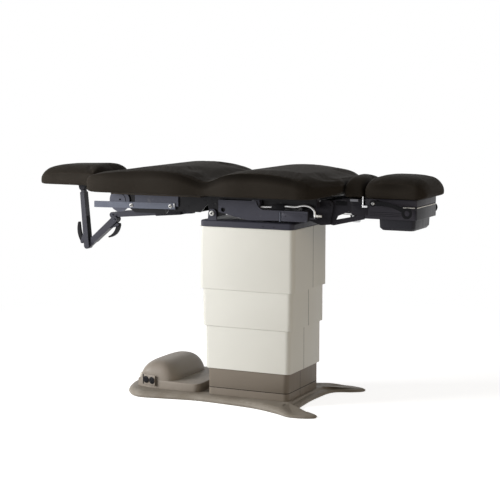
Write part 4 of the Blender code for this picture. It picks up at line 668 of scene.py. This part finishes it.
def hump_level(x_range, y_range, scale, squareness, z, count=192):
    """One level of the hump: a superellipse in plan, pressed flat behind the line of the receptacle face."""
    middle = np.array((sum(x_range) / 2, sum(y_range) / 2))
    half = np.array((x_range[1] - x_range[0], y_range[1] - y_range[0])) / 2 * np.asarray(scale)
    turns = (np.arange(count) + 0.5) * math.tau / count
    wave = np.stack([np.cos(turns), np.sin(turns)], 1)
    plan = np.sign(wave) * np.abs(wave) ** (2 / squareness) * half + middle
    beyond = (plan - PANEL_CORNERS[0]) @ PANEL_OUT
    plan = plan - np.maximum(beyond, 0)[:, None] * PANEL_OUT
    return np.column_stack([plan, np.full(count, z)])


def make_power_hump():
    """Levels of one superellipse for the ledge with a small round edge, and of another for the dome: its
    height grows with the sine, and it narrows in X with a higher power of the cosine than in Y, so that its
    two ends across the table stay steep."""
    def ledge(scale, z):
        return hump_level(HUMP_X, HUMP_Y, scale, LEDGE_SQUARE, z)

    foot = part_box("power_cover")[0].z
    levels = [ledge(LEDGE_HEM[0], foot), ledge(1.0, foot + LEDGE_HEM[1])]
    for turn in np.radians((0, 22, 45, 67, 90)):
        edge = 1 - LEDGE_ROUND[0] * (1 - math.cos(turn))
        levels.append(ledge(edge, LEDGE_Z - LEDGE_ROUND[1] * (1 - math.sin(turn))))
    for turn in np.radians(np.linspace(0.5, 88.5, 30)):
        scale = np.array(DOME_SCALE) * math.cos(turn) ** np.array(DOME_POWERS)
        squareness = DOME_SQUARE[0] - DOME_SQUARE[1] * math.sin(turn)
        levels.append(hump_level(DOME_X, DOME_Y, scale, squareness, LEDGE_Z + DOME_RISE * math.sin(turn)))
    hump = ring_piece("power_hump", levels, taupe_shell, angle=38.0)
    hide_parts("power_cover")
    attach(hump, "base")


# Small fittings

def add_plate(name, shape, place, out, thick, material, body, run=(0, 1, 0)):
    """A thin plate on a face that looks along out, in the slot of its finish and riding on a body."""
    plate = face_plate(name, shape, place, run, out, thick, material)
    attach(plate, body)


COVER_HALF_X = 0.2115   # half length of the skirt; each stage over it is longer by the step
COVER_STEP_X = 0.012
SEAM_LINE = (0.0022, 0.0002, 0.0001)    # width, thickness and lift of the dark line in a seam
COVER_SEAMS = (         # stage, body, Y of the seam, and Z of its ends
    ("skirt", "base", -0.037, 0.0315, 0.1595), ("cover_lower", "cover_lower", -0.022, 0.1615, 0.3670),
    ("cover_mid", "cover_mid", 0.004, 0.3690, 0.5470), ("cover_upper", "carriage", 0.030, 0.5490, 0.8465),
)


def make_cover_seams():
    """The dark joint between the two halves of each cover stage, on both of its end faces."""
    wide, thick, lift = SEAM_LINE
    for number, (stage, body, split, low, high) in enumerate(COVER_SEAMS):
        face = COVER_HALF_X + number * COVER_STEP_X + lift
        shape = rectangle(wide, high - low, 0.0004)
        for label, way in (("head", -1), ("foot", 1)):
            place = (way * face, split, (low + high) / 2)
            add_plate(f"{stage}_seam_{label}", shape, place, (way, 0, 0), thick, dark_gap, body)


BOLT_PROFILE = (        # radius and height of washer, head and socket, in shares of the washer's radius
    (0.0, 0.0), (1.0, 0.0), (1.0, 0.10), (0.94, 0.16), (0.80, 0.16), (0.78, 0.20), (0.74, 0.42), (0.66, 0.50),
    (0.47, 0.52), (0.45, 0.48), (0.43, 0.20), (0.0, 0.18),
)
BOLT_SOCKET = 0.43
RAIL_BOLTS = ((-0.617, 0.9315), (-0.401, 0.9350))
RAIL_BOLT_R = 0.0098
KNEE_BOLTS = (          # X and Z, the face, and the body
    (-0.838, 0.8605, 0.0097, "head_slide"), (-0.8225, 0.8370, 0.0200, "head_lower"),
)
KNEE_BOLT_R = 0.0066
TILT_BOLT = (-0.170, 0.912)
TILT_BOLT_R = 0.0125
STIRRUP_BOLT = (0.629, 0.985)
STIRRUP_BOLT_R = 0.0075
RIVETS = ((0.2095, 0.914), (0.289, 0.914))
RIVET_R = 0.0032
SIDE_PANEL_FACE = 0.2156


def make_bolt(name, place, face, side, radius, body, metal=plated_steel):
    """A bolt in a washer on a face across Y: a turned profile with a step, a domed head and a socket painted
    near-black as its shade.
    """
    centre = (place[0], side * face, place[1])
    bolt = turned(name, np.array(BOLT_PROFILE) * radius, centre, (0, side, 0), metal)
    # Painted shade: the faces inside the socket take the near-black gap material
    reach = BOLT_SOCKET * radius
    paint_faces(bolt.data, dark_gap, lambda at: np.linalg.norm(at[:, ::2] - place, axis=1) < reach)
    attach(bolt, body)


def outer_face(node, side):
    """The distance from the middle to what sits on a node's outer face."""
    return abs(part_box(node)[0 if side < 0 else 1].y) + LIFT


def make_bolts():
    """The bolts that show on both sides: on rails, headrest joints, tilt lugs, stirrups and side panels."""
    for label, side in SIDES:
        rail = outer_face(f"back_rail_{label}", side)
        for number, place in enumerate(RAIL_BOLTS):
            make_bolt(f"rail_bolt_{label}_{number}", place, rail, side, RAIL_BOLT_R, "back")
        for number, (x, z, y, body) in enumerate(KNEE_BOLTS):
            make_bolt(f"knee_bolt_{label}_{number}", (x, z), y + LIFT, side, KNEE_BOLT_R, body, post_paint)
        lug = outer_face(f"tilt_lug_{label}", side)
        make_bolt(f"tilt_bolt_{label}", TILT_BOLT, lug, side, TILT_BOLT_R, "carriage")
        stirrup = f"stirrup_{label}"
        face = outer_face(stirrup, side)
        make_bolt(f"stirrup_bolt_{label}", STIRRUP_BOLT, face, side, STIRRUP_BOLT_R, stirrup)
        panel = SIDE_PANEL_FACE + LIFT
        for number, place in enumerate(RIVETS):
            make_bolt(f"panel_rivet_{label}_{number}", place, panel, side, RIVET_R, "seat", grey_paint)


DISC_AT = (-0.686, 0.953)
DISC_TURNS = np.radians(np.linspace(-8, 66, 22))        # where the bearer disc's ring shows
DISC_ARC = np.stack([np.cos(DISC_TURNS), np.sin(DISC_TURNS)], 1)
DISC_RING = np.vstack([0.0362 * DISC_ARC, 0.0338 * DISC_ARC[::-1]])
BOX_ANGLE = (
    (-0.0125, -0.025), (0.0125, -0.025), (0.0125, -0.0165), (-0.0065, -0.0165), (-0.0065, 0.025),
    (-0.0125, 0.025),
)
SIDE_STRIP = rectangle(0.0050, 0.045, 0.0008)
SIDE_JOINT = rectangle(0.0105, 0.045, 0.0008)
DECK_SLOT = rectangle(0.006, 0.004, 0.0014)
BOX_RIB = rectangle(0.150, 0.0016, 0.0006)
BEARER_Y = 0.1985       # the faces that the plates lie on
RAIL_Y = 0.2025
SEAT_Y = 0.214
DECK_Y = 0.215
ARM_Y = 0.1385
BOX_Y = 0.138
SIDE_PLATES = (         # name, outline in X and Z, its middle, the face, thickness, finish and body
    ("bearer_ring_{}", DISC_RING, DISC_AT, BEARER_Y, 0.0007, dark_gap, "back"),
    ("bearer_hub_{}", rectangle(0.010, 0.007, 0.003), (-0.683, 0.957), BEARER_Y, 0.0012, dark_gap, "back"),
    ("rail_clip_{}", rectangle(0.0035, 0.020, 0.0015), (-0.380, 0.940), RAIL_Y, 0.0012, plated_steel, "back"),
    ("side_panel_{}", rectangle(0.128, 0.040, 0.003), (0.2555, 0.909), SEAT_Y, 0.0014, grey_paint, "seat"),
    ("side_joint_{}", SIDE_JOINT, (0.1825, 0.9095), SEAT_Y, 0.0006, dark_gap, "seat"),
    ("side_strip_{}", SIDE_STRIP, (0.1825, 0.9095), SEAT_Y + 0.0008, 0.0008, rail_paint, "seat"),
    # painted shade: the deck slots are near-black plates standing for the dark of the openings
    ("deck_slot_{}_0", DECK_SLOT, (0.096, 0.8595), DECK_Y, 0.0008, dark_gap, "carriage"),
    ("deck_slot_{}_1", DECK_SLOT, (0.152, 0.8595), DECK_Y, 0.0008, dark_gap, "carriage"),
    # painted shade: a near-black plate in the arm's recess
    ("arm_recess_{}", rectangle(0.055, 0.020, 0.004), (0.4585, 0.9765), ARM_Y, 0.0010, dark_gap, "foot"),
    # painted highlight: a pale tab on top of the foot frame's arm
    ("arm_highlight_tab_{}", rectangle(0.040, 0.011, 0.0035), (0.521, 0.993), ARM_Y, 0.0030, arm_highlight_grey, "foot"),
    ("frame_cheek_{}", rectangle(0.078, 0.050, 0.006), (0.547, 0.950), ARM_Y, 0.0014, charcoal_paint, "foot"),
    ("box_angle_{}", BOX_ANGLE, (0.5735, 0.987), BOX_Y + 0.0027, 0.0014, bright_steel, "extension"),
    ("box_rib_{}_0", BOX_RIB, (0.672, 0.926), BOX_Y, 0.0010, dark_gap, "extension"),
    ("box_rib_{}_1", BOX_RIB, (0.672, 0.934), BOX_Y, 0.0010, dark_gap, "extension"),
    ("box_rib_{}_2", BOX_RIB, (0.672, 0.942), BOX_Y, 0.0010, dark_gap, "extension"),
    ("box_strip_{}", rectangle(0.056, 0.0036, 0.0010), (0.785, 0.9675), BOX_Y, 0.0012, hose_end, "extension"),
)


def make_side_plates():
    """The thin plates that are the same on both sides of the table."""
    for label, side in SIDES:
        for name, shape, (x, z), face, thick, material, body in SIDE_PLATES:
            place = (x, side * (face + LIFT), z)
            add_plate(name.format(label), shape, place, (0, side, 0), thick, material, body, run=(1, 0, 0))


HOSE_Y = -0.199
HOSE_R = 0.005
HOSE_POINTS = (         # X and depth under the upholstery
    (0.0755, 0.050), (0.132, 0.048), (0.201, 0.042), (0.257, 0.043), (0.302, 0.036), (0.334, 0.044),
    (0.350, 0.064), (0.351, 0.076), (0.351, 0.088),
)
GUARD_AT = (0.168, -0.2056, 0.9505)
FITTING_AT = (0.357, HOSE_Y, 0.9185)
FITTING_PROFILE = (
    (0.0, 0.0), (0.0050, 0.0), (0.0062, 0.0012), (0.0062, 0.012), (0.0050, 0.013), (0.0050, 0.026),
    (0.0042, 0.028), (0.0, 0.028),
)
TRAY_STRIP = (0.272, 0.0036, 0.9675)    # width, height and Z of the pale strip on the tray's front
PAN_CORNER = (0.040, 0.172, 0.9775)     # size, Y and Z of the plates at the pan's foot-end corners


def make_end_trim():
    """The hose's guard and end fitting, the strip on the tray's front and the plates at the pan's corners."""
    guard = rectangle(0.064, 0.030, 0.004)
    add_plate("hose_guard", guard, GUARD_AT, (0, -1, 0), 0.0016, dark_gap, "seat", run=(1, 0, 0))
    fitting = turned("hose_fitting", FITTING_PROFILE, FITTING_AT, (1, 0, 0), hose_end)
    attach(fitting, "seat")
    wide, high, z = TRAY_STRIP
    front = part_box("treatment_tray")[1].x + LIFT
    add_plate("tray_strip", rectangle(wide, high, 0.0010), (front, 0, z), (1, 0, 0), 0.0012, hose_end, "tray")
    size, y, z = PAN_CORNER
    pan_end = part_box("seat_pan")[1].x + LIFT
    for label, side in SIDES:
        place = (pan_end, side * y, z)
        shape = rectangle(size, size, 0.003)
        add_plate(f"pan_corner_{label}", shape, place, (1, 0, 0), 0.0015, charcoal_paint, "seat")


DISC = np.stack([np.cos(np.arange(40) * math.tau / 40), np.sin(np.arange(40) * math.tau / 40)], 1)
PANEL_Z = 0.069
PANEL_FACE = 0.0047             # the panel's front from the line of its corners
SOCKETS = (-0.0185, 0.0205)     # their middles along the panel
SOCKET_R = 0.0174
SOCKET_RISE = 0.0020
SOCKET_SLOTS = (                # name, place across the socket's face, and outline; near-black plates as painted shade for the openings
    ("left", -0.0062, 0.003, rectangle(0.0020, 0.0078, 0.0006)),
    ("right", 0.0062, 0.003, rectangle(0.0020, 0.0066, 0.0006)),
    ("ground", 0.0, -0.0075, DISC * 0.0026),
)
SHADOW_SLIT_AT = -0.0385
BLADE_RISE = 0.0014             # slots and blades from the face that holds them
INLET_BLADES = ((-0.007, -0.002), (0.0, 0.003), (0.007, -0.002))


def make_socket_trim():
    """On the receptacle panel: two round faces, each with two upright slots and a round one as near-black
    plates of painted shade, and a near-black slit beside them as painted shadow. On the cord inlet: a sunk
    frame with three blades."""
    run, out = np.array((*PANEL_RUN, 0.0)), np.array((*PANEL_OUT, 0.0))
    rise = np.array((0.0, 0.0, 1.0))
    front = np.array((*PANEL_CORNERS.mean(0), PANEL_Z)) + out * PANEL_FACE
    for number, shift in enumerate(SOCKETS):
        centre = front + run * shift + out * SOCKET_RISE
        add_plate(f"socket_face_{number}", DISC * SOCKET_R, centre, out, 0.0012, black_plastic, "base", run)
        # Painted shade: each slot is a near-black plate standing for the dark of its opening
        for name, x, z, shape in SOCKET_SLOTS:
            place = centre + run * x + rise * z + out * BLADE_RISE
            add_plate(f"socket_slot_{number}_{name}", shape, place, out, 0.0005, dark_gap, "base", run)
    # Painted shadow: a near-black slit beside the sockets
    slit = rectangle(0.0050, 0.050, 0.001)
    add_plate("panel_shadow_slit", slit, front + run * SHADOW_SLIT_AT, out, 0.0008, dark_gap, "base", run)
    low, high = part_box("cord_inlet")
    inlet = np.array((low.x - LIFT, (low.y + high.y) / 2, (low.z + high.z) / 2))
    away = (-1, 0, 0)
    add_plate("inlet_frame", rectangle(0.028, 0.022, 0.004), inlet, away, 0.0012, black_plastic, "base")
    blade = rectangle(0.0020, 0.0060, 0.0005)
    for number, (y, z) in enumerate(INLET_BLADES):
        place = inlet + (-BLADE_RISE, y, z)
        add_plate(
            f"inlet_blade_{number}", blade, place, away, 0.0010, plated_steel, "base",
        )


LINK_HEEL = np.array((-0.990, 0.0, 0.693))
LINK_NECK = np.array((-1.018, 0.0, 0.993))
LINK_FACE = 0.0143      # the painted shade strip from the line between heel and neck


def make_link_shade_strip():
    """A near-black strip on the foot-end face of the upper headrest link, as painted shade on that face."""
    along = (LINK_NECK - LINK_HEEL) / np.linalg.norm(LINK_NECK - LINK_HEEL)
    out = np.array((along[2], 0.0, -along[0]))
    place = (LINK_HEEL + LINK_NECK) / 2 + out * LINK_FACE
    add_plate("link_shade_strip", rectangle(0.032, 0.235, 0.004), place, out, 0.0012, dark_gap, "head_upper")


# Upholstery

SEAT_HALF = 0.355
MAIN_ENDS = (-0.800, 0.470)
MAIN_ROUNDS = (0.045, 0.030)
MAIN_GRID = (190, 112)
SMALL_GRID = (72, 88)
# The tables of the seat and back run along X
MAIN_HALF = [(x, SEAT_HALF - inset) for x, inset in (
    (-0.80, 0.006), (-0.72, 0.0), (-0.52, 0.005), (-0.29, 0.002), (-0.155, 0.022), (-0.03, 0.002),
    (0.10, 0.004), (0.28, 0.004), (0.34, 0.010), (0.38, 0.034), (0.41, 0.082), (0.435, 0.132), (0.470, 0.170),
)]
MAIN_SHOULDER = (
    (-0.80, 0.076), (-0.765, 0.086), (-0.71, 0.097), (-0.65, 0.1045), (-0.54, 0.111), (-0.44, 0.115),
    (-0.37, 0.1155), (-0.33, 0.114), (-0.277, 0.106), (-0.23, 0.092), (-0.19, 0.077), (-0.163, 0.0705),
    (-0.135, 0.0715), (-0.105, 0.084), (-0.06, 0.1005), (-0.02, 0.1090), (0.03, 0.1145), (0.09, 0.1160),
    (0.15, 0.1155), (0.20, 0.1120), (0.24, 0.1080), (0.285, 0.1005), (0.33, 0.0895), (0.368, 0.074),
    (0.392, 0.058), (0.41, 0.049), (0.43, 0.051), (0.47, 0.068),
)
MAIN_CROWN = (
    (-0.80, -0.004), (-0.62, -0.003), (-0.50, 0.012), (-0.40, 0.013), (-0.27, 0.018), (-0.222, 0.025),
    (-0.19, 0.016), (-0.163, 0.005), (-0.12, 0.004), (-0.06, 0.0050), (-0.02, 0.0050), (0.04, 0.0070),
    (0.146, 0.0095), (0.21, 0.0115), (0.255, 0.0135), (0.30, 0.019), (0.34, 0.027), (0.37, 0.034),
    (0.392, 0.042), (0.41, 0.050), (0.43, 0.046), (0.47, 0.030),
)
MAIN_LIFT = (
    (-0.80, 0.004), (-0.72, 0.0), (-0.71, 0.0), (-0.70, 0.0), (0.34, 0.0), (0.35, 0.0), (0.36, 0.0),
    (0.40, 0.006), (0.43, 0.014), (0.47, 0.024),
)
MAIN_DISH = (
    (-0.80, 0.0), (-0.20, 0.0), (-0.16, 0.0), (-0.12, 0.004), (-0.06, 0.012), (-0.01, 0.015), (0.04, 0.013),
    (0.09, 0.007), (0.15, 0.003), (0.20, 0.0), (0.24, 0.0), (0.47, 0.0),
)
MAIN_SEAM = (
    (-0.80, 0.0), (-0.76, 0.0), (-0.70, 0.004), (-0.45, 0.008), (-0.28, 0.012), (-0.16, 0.013),
    (-0.08, 0.016), (0.25, 0.016), (0.32, 0.013), (0.37, 0.005), (0.40, 0.0), (0.47, 0.0),
)
# The tables of the other cushions run from 0 at the head end to 1 at the foot end
HEAD_HALF = ((0.0, 0.130), (0.12, 0.150), (0.36, 0.158), (0.72, 0.166), (0.91, 0.171), (1.0, 0.168))
HEAD_TOP = (
    (0.0, 0.040), (0.12, 0.054), (0.28, 0.062), (0.55, 0.066), (0.77, 0.068), (0.91, 0.069), (1.0, 0.064),
)
BOLSTER_HALF = ((0.0, 0.158), (0.3, 0.150), (0.7, 0.148), (1.0, 0.152))
BOLSTER_TOP = ((0.0, 0.066), (0.35, 0.070), (0.7, 0.066), (1.0, 0.058))
LEG_HALF = ((0.0, 0.160), (0.15, 0.168), (0.5, 0.166), (0.85, 0.169), (1.0, 0.164))
LEG_TOP = ((0.0, 0.060), (0.2, 0.070), (0.5, 0.074), (0.75, 0.071), (1.0, 0.058))
# Powers of the side and the height over the widest line, of both under it, and of the crown
CRISP = (0.07, 0.30, 0.10, 0.15, 4.0)
FIRM = (0.16, 0.40, 0.14, 0.20, 2.6)
ROUND = (0.34, 0.60, 0.40, 0.55, 2.6)
CROWDED = (0.75, 0.15)  # how far grid points move towards the pad's ends and its edges
BELLY = (0.045, 0.42)   # the widest line over the underside, and its largest share of the height
PINCH = (0.35, 0.75, 0.40)      # shares of an end's rounding for the underside, shoulder and crown
DISH_HALF = 0.19        # reach of the seat's dish across Y
SEAM_ROLL = 0.001       # the sewn line starts this far under the shoulder
SEAM_DROP = 0.009       # and is deepest here
SEAM_FADE = 0.034
SEAM_SIDE = (0.045, 0.020)      # the line begins this far inside the widest line, over this distance
SEAM_SHADE_FULL = 0.016       # a sewn line drawn in this far gets the full painted shade
HELD_LINE = (0.004, 0.030)      # half height and depth of the band of held points along a sewn line
HELD_UNDER = 0.012
SKIN_STEP = 0.006
STUFF_FRAMES = 20
STUFF_CAP = 0.005
STUFF_PRESSURE = 4.0


def pad_grid(ends, rounds, half_at, shoulder_at, crown_at, dish_at, lift_at, powers, under, size):
    """A crowned pad. Along it, both ends are drawn in on a quarter circle. Across it, with an angle going
    round, the side is a low power of the cosine and the height a power of the sine up to the shoulder, with a
    curve of higher degree over it for the crown and a bell taken from it for the dish."""
    rows, around = size
    share = np.linspace(0, 1, rows)
    share = share - np.sin(share * math.tau) / math.tau * CROWDED[0]
    x = (ends[0] + (ends[1] - ends[0]) * share)[:, None]
    pinch = 0
    for end, reach in zip(ends, rounds):
        near = np.clip(reach - np.abs(x - end), 0, reach)
        pinch = pinch + reach - np.sqrt(np.maximum(reach**2 - near**2, 0))
    half = half_at(x) - pinch
    low = under + lift_at(x) + PINCH[0] * pinch
    shoulder = under + shoulder_at(x) - PINCH[1] * pinch
    belly = low + np.minimum(BELLY[0], BELLY[1] * (shoulder - low))
    angle = (np.arange(around) + 0.5) * math.tau / around
    angle = angle - CROWDED[1] * np.sin(4 * angle)
    c, s = np.cos(angle)[None], np.sin(angle)[None]
    upper = s > 0
    y = half * np.sign(c) * np.abs(c) ** np.where(upper, powers[0], powers[2])
    dome = (crown_at(x) - PINCH[2] * pinch) * (1 - np.abs(y / half) ** powers[4])
    dome = dome - dish_at(x) * np.exp(-((y / DISH_HALF) ** 2))
    over = belly + (shoulder - belly) * np.abs(s) ** powers[1] + dome
    below = belly - (belly - low) * np.abs(s) ** powers[3]
    z = np.where(upper, over, below)
    return np.stack([np.broadcast_to(x, z.shape), y, z], -1)


def places_of(mesh):
    """The places of a mesh's vertices, a row for each."""
    places = np.empty(len(mesh.vertices) * 3)
    mesh.vertices.foreach_get("co", places)
    return places.reshape(-1, 3)


def as_shown(obj):
    """An object as its modifiers make it now."""
    return obj.evaluated_get(bpy.context.evaluated_depsgraph_get())


def stuffed(pad, held):
    """A cushion filled out: its skin is made even, held where a test says so and blown up a little as cloth.
    No point moves farther than the cap."""
    scene = bpy.context.scene
    even = pad.modifiers.new("even_skin", "REMESH")
    even.mode = "VOXEL"
    even.voxel_size = SKIN_STEP
    mesh = bpy.data.meshes.new_from_object(as_shown(pad))
    pad.modifiers.clear()
    pad.data = mesh
    mesh.materials.clear()
    mesh.materials.append(vinyl)
    start = places_of(mesh)
    group = pad.vertex_groups.new(name="held")
    group.add(np.flatnonzero(held(start)).tolist(), 1.0, "REPLACE")
    cloth = pad.modifiers.new("stuffing", "CLOTH")
    cloth.settings.quality = 4
    cloth.settings.use_pressure = True
    cloth.settings.uniform_pressure_force = STUFF_PRESSURE
    cloth.settings.vertex_group_mass = "held"
    cloth.settings.effector_weights.gravity = 0.0
    cloth.point_cache.frame_start = 1
    cloth.point_cache.frame_end = STUFF_FRAMES
    for number in range(1, STUFF_FRAMES + 1):
        scene.frame_set(number)
    move = places_of(as_shown(pad).data) - start
    far = np.linalg.norm(move, axis=1)[:, None]
    pad.modifiers.clear()
    pad.vertex_groups.clear()
    share = np.minimum(1, STUFF_CAP / np.maximum(far, 1e-9))
    mesh.vertices.foreach_set("co", (start + move * share).ravel())
    scene.frame_set(1)
    soft = pad.modifiers.new("smooth_skin", "SUBSURF")
    soft.levels = 1
    soft.render_levels = 1
    pad.data = bpy.data.meshes.new_from_object(as_shown(pad))
    pad.modifiers.clear()
    pad.data.shade_smooth()


def sew(pad, half_at, shoulder_at, under, depth_at):
    """Draws the sides in along a sewn line under the shoulder: the depth is a skewed bell of the height below
    the shoulder, steep over the line and slow under it. The seam attribute keeps it for a painted shade along
    the line."""
    points = places_of(pad.data)
    x, y, z = points.T
    down = under + shoulder_at(x) - z
    side = ease((np.abs(y) - half_at(x) + SEAM_SIDE[0]) / SEAM_SIDE[1])
    bell = ease((down - SEAM_ROLL) / (SEAM_DROP - SEAM_ROLL)) * (1 - ease((down - SEAM_DROP) / SEAM_FADE))
    draw = depth_at(x) * bell * side
    points[:, 1] = y - np.sign(y) * draw
    pad.data.vertices.foreach_set("co", points.ravel())
    # The seam attribute drives the painted shade of the sewn furrow in the vinyl's shading
    pad.data.attributes.new("seam", "FLOAT", "POINT").data.foreach_set("value", draw / SEAM_SHADE_FULL)


def held_points(half_at, shoulder_at, under):
    """The test for the points that the stuffing leaves where they are: the underside and the sewn line."""
    def held(at):
        x, y, z = at.T
        line = np.abs(under + shoulder_at(x) - SEAM_DROP - z) < HELD_LINE[0]
        return (z < under + HELD_UNDER) | (line & (np.abs(y) > half_at(x) - HELD_LINE[1]))

    return held


def make_pad(name, grid, half_at, shoulder_at, under, seam_at, *stands_for):
    """A cushion over a grid of points, stuffed and sewn, in the place of its CAD solids."""
    pad = ring_piece(name, grid, vinyl, angle=70.0)
    stuffed(pad, held_points(half_at, shoulder_at, under))
    sew(pad, half_at, shoulder_at, under, seam_at)
    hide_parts(*stands_for)
    return pad


def make_main_pad():
    """Seat and back upholstery in one skin over the hip hinge."""
    half_at, shoulder_at = flow(MAIN_HALF), flow(MAIN_SHOULDER)
    crown_at, dish_at, lift_at = flow(MAIN_CROWN), flow(MAIN_DISH), flow(MAIN_LIFT)
    grid = pad_grid(
        MAIN_ENDS, MAIN_ROUNDS, half_at, shoulder_at, crown_at, dish_at, lift_at, CRISP, PAD_FOOT, MAIN_GRID,
    )
    pad = make_pad(
        "main_upholstery", grid, half_at, shoulder_at, PAD_FOOT, flow(MAIN_SEAM), "seat_cushion", "hip_fold",
        "back_cushion",
    )
    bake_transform(pad)


def make_small_pad(name, node, body, rounds, half_table, top_table, crown, seam, powers):
    """A separate cushion in the length that its CAD solid has, its tables running from end to end."""
    low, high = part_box(node)

    def along(table):
        at, value = np.array(table).T
        return flow(np.column_stack([low.x + at * (high.x - low.x), value]))

    half_at, shoulder_at = along(half_table), along(top_table)
    level, crown_at = along(((0, 0.0), (1, 0.0))), along(((0, crown), (1, crown)))
    seam_at = along(((0, 0.0), (0.12, 0.0), (0.25, seam), (0.75, seam), (0.88, 0.0), (1, 0.0)))
    ends = (low.x, high.x)
    grid = pad_grid(ends, rounds, half_at, shoulder_at, crown_at, level, level, powers, low.z, SMALL_GRID)
    pad = make_pad(name, grid, half_at, shoulder_at, low.z, seam_at, node)
    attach(pad, body)


SMALL_PADS = (          # name, CAD node, body, end roundings, half widths, shoulders, crown, seam and powers
    ("head_pad", "head_cushion", "head", (0.036, 0.030), HEAD_HALF, HEAD_TOP, 0.036, 0.002, FIRM),
    ("bolster_pad", "bolster", "foot", (0.020, 0.022), BOLSTER_HALF, BOLSTER_TOP, 0.033, 0.0, ROUND),
    ("leg_pad", "leg_cushion", "extension", (0.030, 0.048), LEG_HALF, LEG_TOP, 0.032, 0.005, FIRM),
)


# Hose

def make_hose():
    """The silver hose: round sections along a smooth line through the route's points."""
    points = np.array(HOSE_POINTS)
    steps = np.concatenate([[0], np.cumsum(np.linalg.norm(np.diff(points, axis=0), axis=1))])
    along = np.linspace(0, steps[-1], 40)
    x = flow(np.column_stack([steps, points[:, 0]]))(along)
    z = PAD_FOOT - flow(np.column_stack([steps, points[:, 1]]))(along)
    path = np.column_stack([x, np.full(len(x), HOSE_Y), z])
    hose = swept_tube("silver_hose", path, HOSE_R, hose_skin)
    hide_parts("side_hose")
    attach(hose, "seat")


# Stage and light

FLOOR_RINGS = (0.01, 3.0, 6.0)
FLOOR_SIDES = 64
FLOOR_FADE = (1.6, 3.2)         # radii between which the floor turns white
FLOOR_COLOUR = (0.82, 0.82, 0.82)
FLOOR_LIFT = 0.76               # light added to the floor for the camera
WORLD_LEVEL = 0.18
WHITE = (1.0, 1.0, 1.0, 1)


def seen_rays(tree):
    """1 where the camera looks, straight or by a mirror or through glass, and 0 for other light."""
    path = tree.nodes.new("ShaderNodeLightPath").outputs
    seen = maths(tree, "MAXIMUM", path["Is Camera Ray"], path["Is Glossy Ray"])
    return maths(tree, "MAXIMUM", seen, path["Is Transmission Ray"])


def make_stage():
    """A round pale floor that fades into white for the camera and for mirror rays, and keeps its shadow."""
    angles = np.arange(FLOOR_SIDES) * math.tau / FLOOR_SIDES
    circle = np.column_stack([np.cos(angles), np.sin(angles), np.zeros(FLOOR_SIDES)])
    rings = [radius * circle for radius in FLOOR_RINGS]
    faces = grid_faces(len(FLOOR_RINGS), FLOOR_SIDES) + [list(range(FLOOR_SIDES))]
    material = bpy.data.materials.new("pale_floor")
    material.use_nodes = True
    tree = material.node_tree
    tree.nodes.clear()
    where = tree.nodes.new("ShaderNodeTexCoord").outputs["Object"]
    far = add_node(tree, "ShaderNodeVectorMath", [(0, where)], operation="LENGTH").outputs["Value"]
    fade = remap(tree, far, *FLOOR_FADE, 0.0, 1.0, smooth=True)
    seen = seen_rays(tree)
    grit = remap(tree, noise(tree, where, 160.0, 3.0), 0.3, 0.7, 0.985, 1.015)
    coat = add_node(tree, "ShaderNodeBsdfDiffuse", [("Color", tint(tree, FLOOR_COLOUR, grit))])
    glow = maths(tree, "MULTIPLY", seen, FLOOR_LIFT)
    lift = add_node(tree, "ShaderNodeEmission", [("Color", WHITE), ("Strength", glow)])
    shaded = add_node(tree, "ShaderNodeAddShader", [(0, coat.outputs[0]), (1, lift.outputs[0])])
    white = add_node(tree, "ShaderNodeEmission", [("Color", WHITE), ("Strength", 1.0)])
    share = maths(tree, "MULTIPLY", fade, seen)
    blank = add_node(tree, "ShaderNodeMixShader", [(0, share), (1, shaded.outputs[0]), (2, white.outputs[0])])
    add_node(tree, "ShaderNodeOutputMaterial", [("Surface", blank.outputs[0])])
    place_mesh("pale_floor", rings, faces, material)


def make_world():
    """A grey surround for light, white where the camera or a mirror ray sees it."""
    world = bpy.data.worlds.new("studio")
    bpy.context.scene.world = world
    world.use_nodes = True
    tree = world.node_tree
    tree.nodes.clear()
    level = maths(tree, "MAXIMUM", seen_rays(tree), WORLD_LEVEL)
    back = add_node(tree, "ShaderNodeBackground", [("Color", WHITE), ("Strength", level)])
    add_node(tree, "ShaderNodeOutputWorld", [("Surface", back.outputs[0])])


LAMP_AIM = (0, 0, 0.8)


def make_lamp(name, place, size, power, colour):
    """A soft lamp, turned to the table and not seen itself."""
    data = bpy.data.lights.new(name, "AREA")
    data.shape = "RECTANGLE"
    data.size, data.size_y = size
    data.energy = power
    data.color = colour
    lamp = bpy.data.objects.new(name, data)
    lamp.location = place
    lamp.rotation_euler = (Vector(LAMP_AIM) - Vector(place)).to_track_quat("-Z", "Y").to_euler()
    lamp.visible_camera = False
    bpy.context.scene.collection.objects.link(lamp)


def make_lights():
    """A large lamp from the front left, and a weak one from the foot end."""
    make_lamp("left_lamp", (-3.9, -2.8, 1.75), (2.2, 1.8), 295, (1.0, 1.0, 1.0))
    make_lamp("foot_lamp", (4.4, -1.6, 1.7), (2.0, 2.0), 40, (1.0, 0.84, 0.64))


bpy.context.scene.view_settings.view_transform = "Standard"
place_camera()
make_hose()
dress_frame()
make_floor_plate()
make_power_hump()
make_cover_seams()
make_bolts()
make_side_plates()
make_end_trim()
make_socket_trim()
make_link_shade_strip()
make_main_pad()
for row in SMALL_PADS:
    make_small_pad(*row)
make_stage()
make_world()
make_lights()
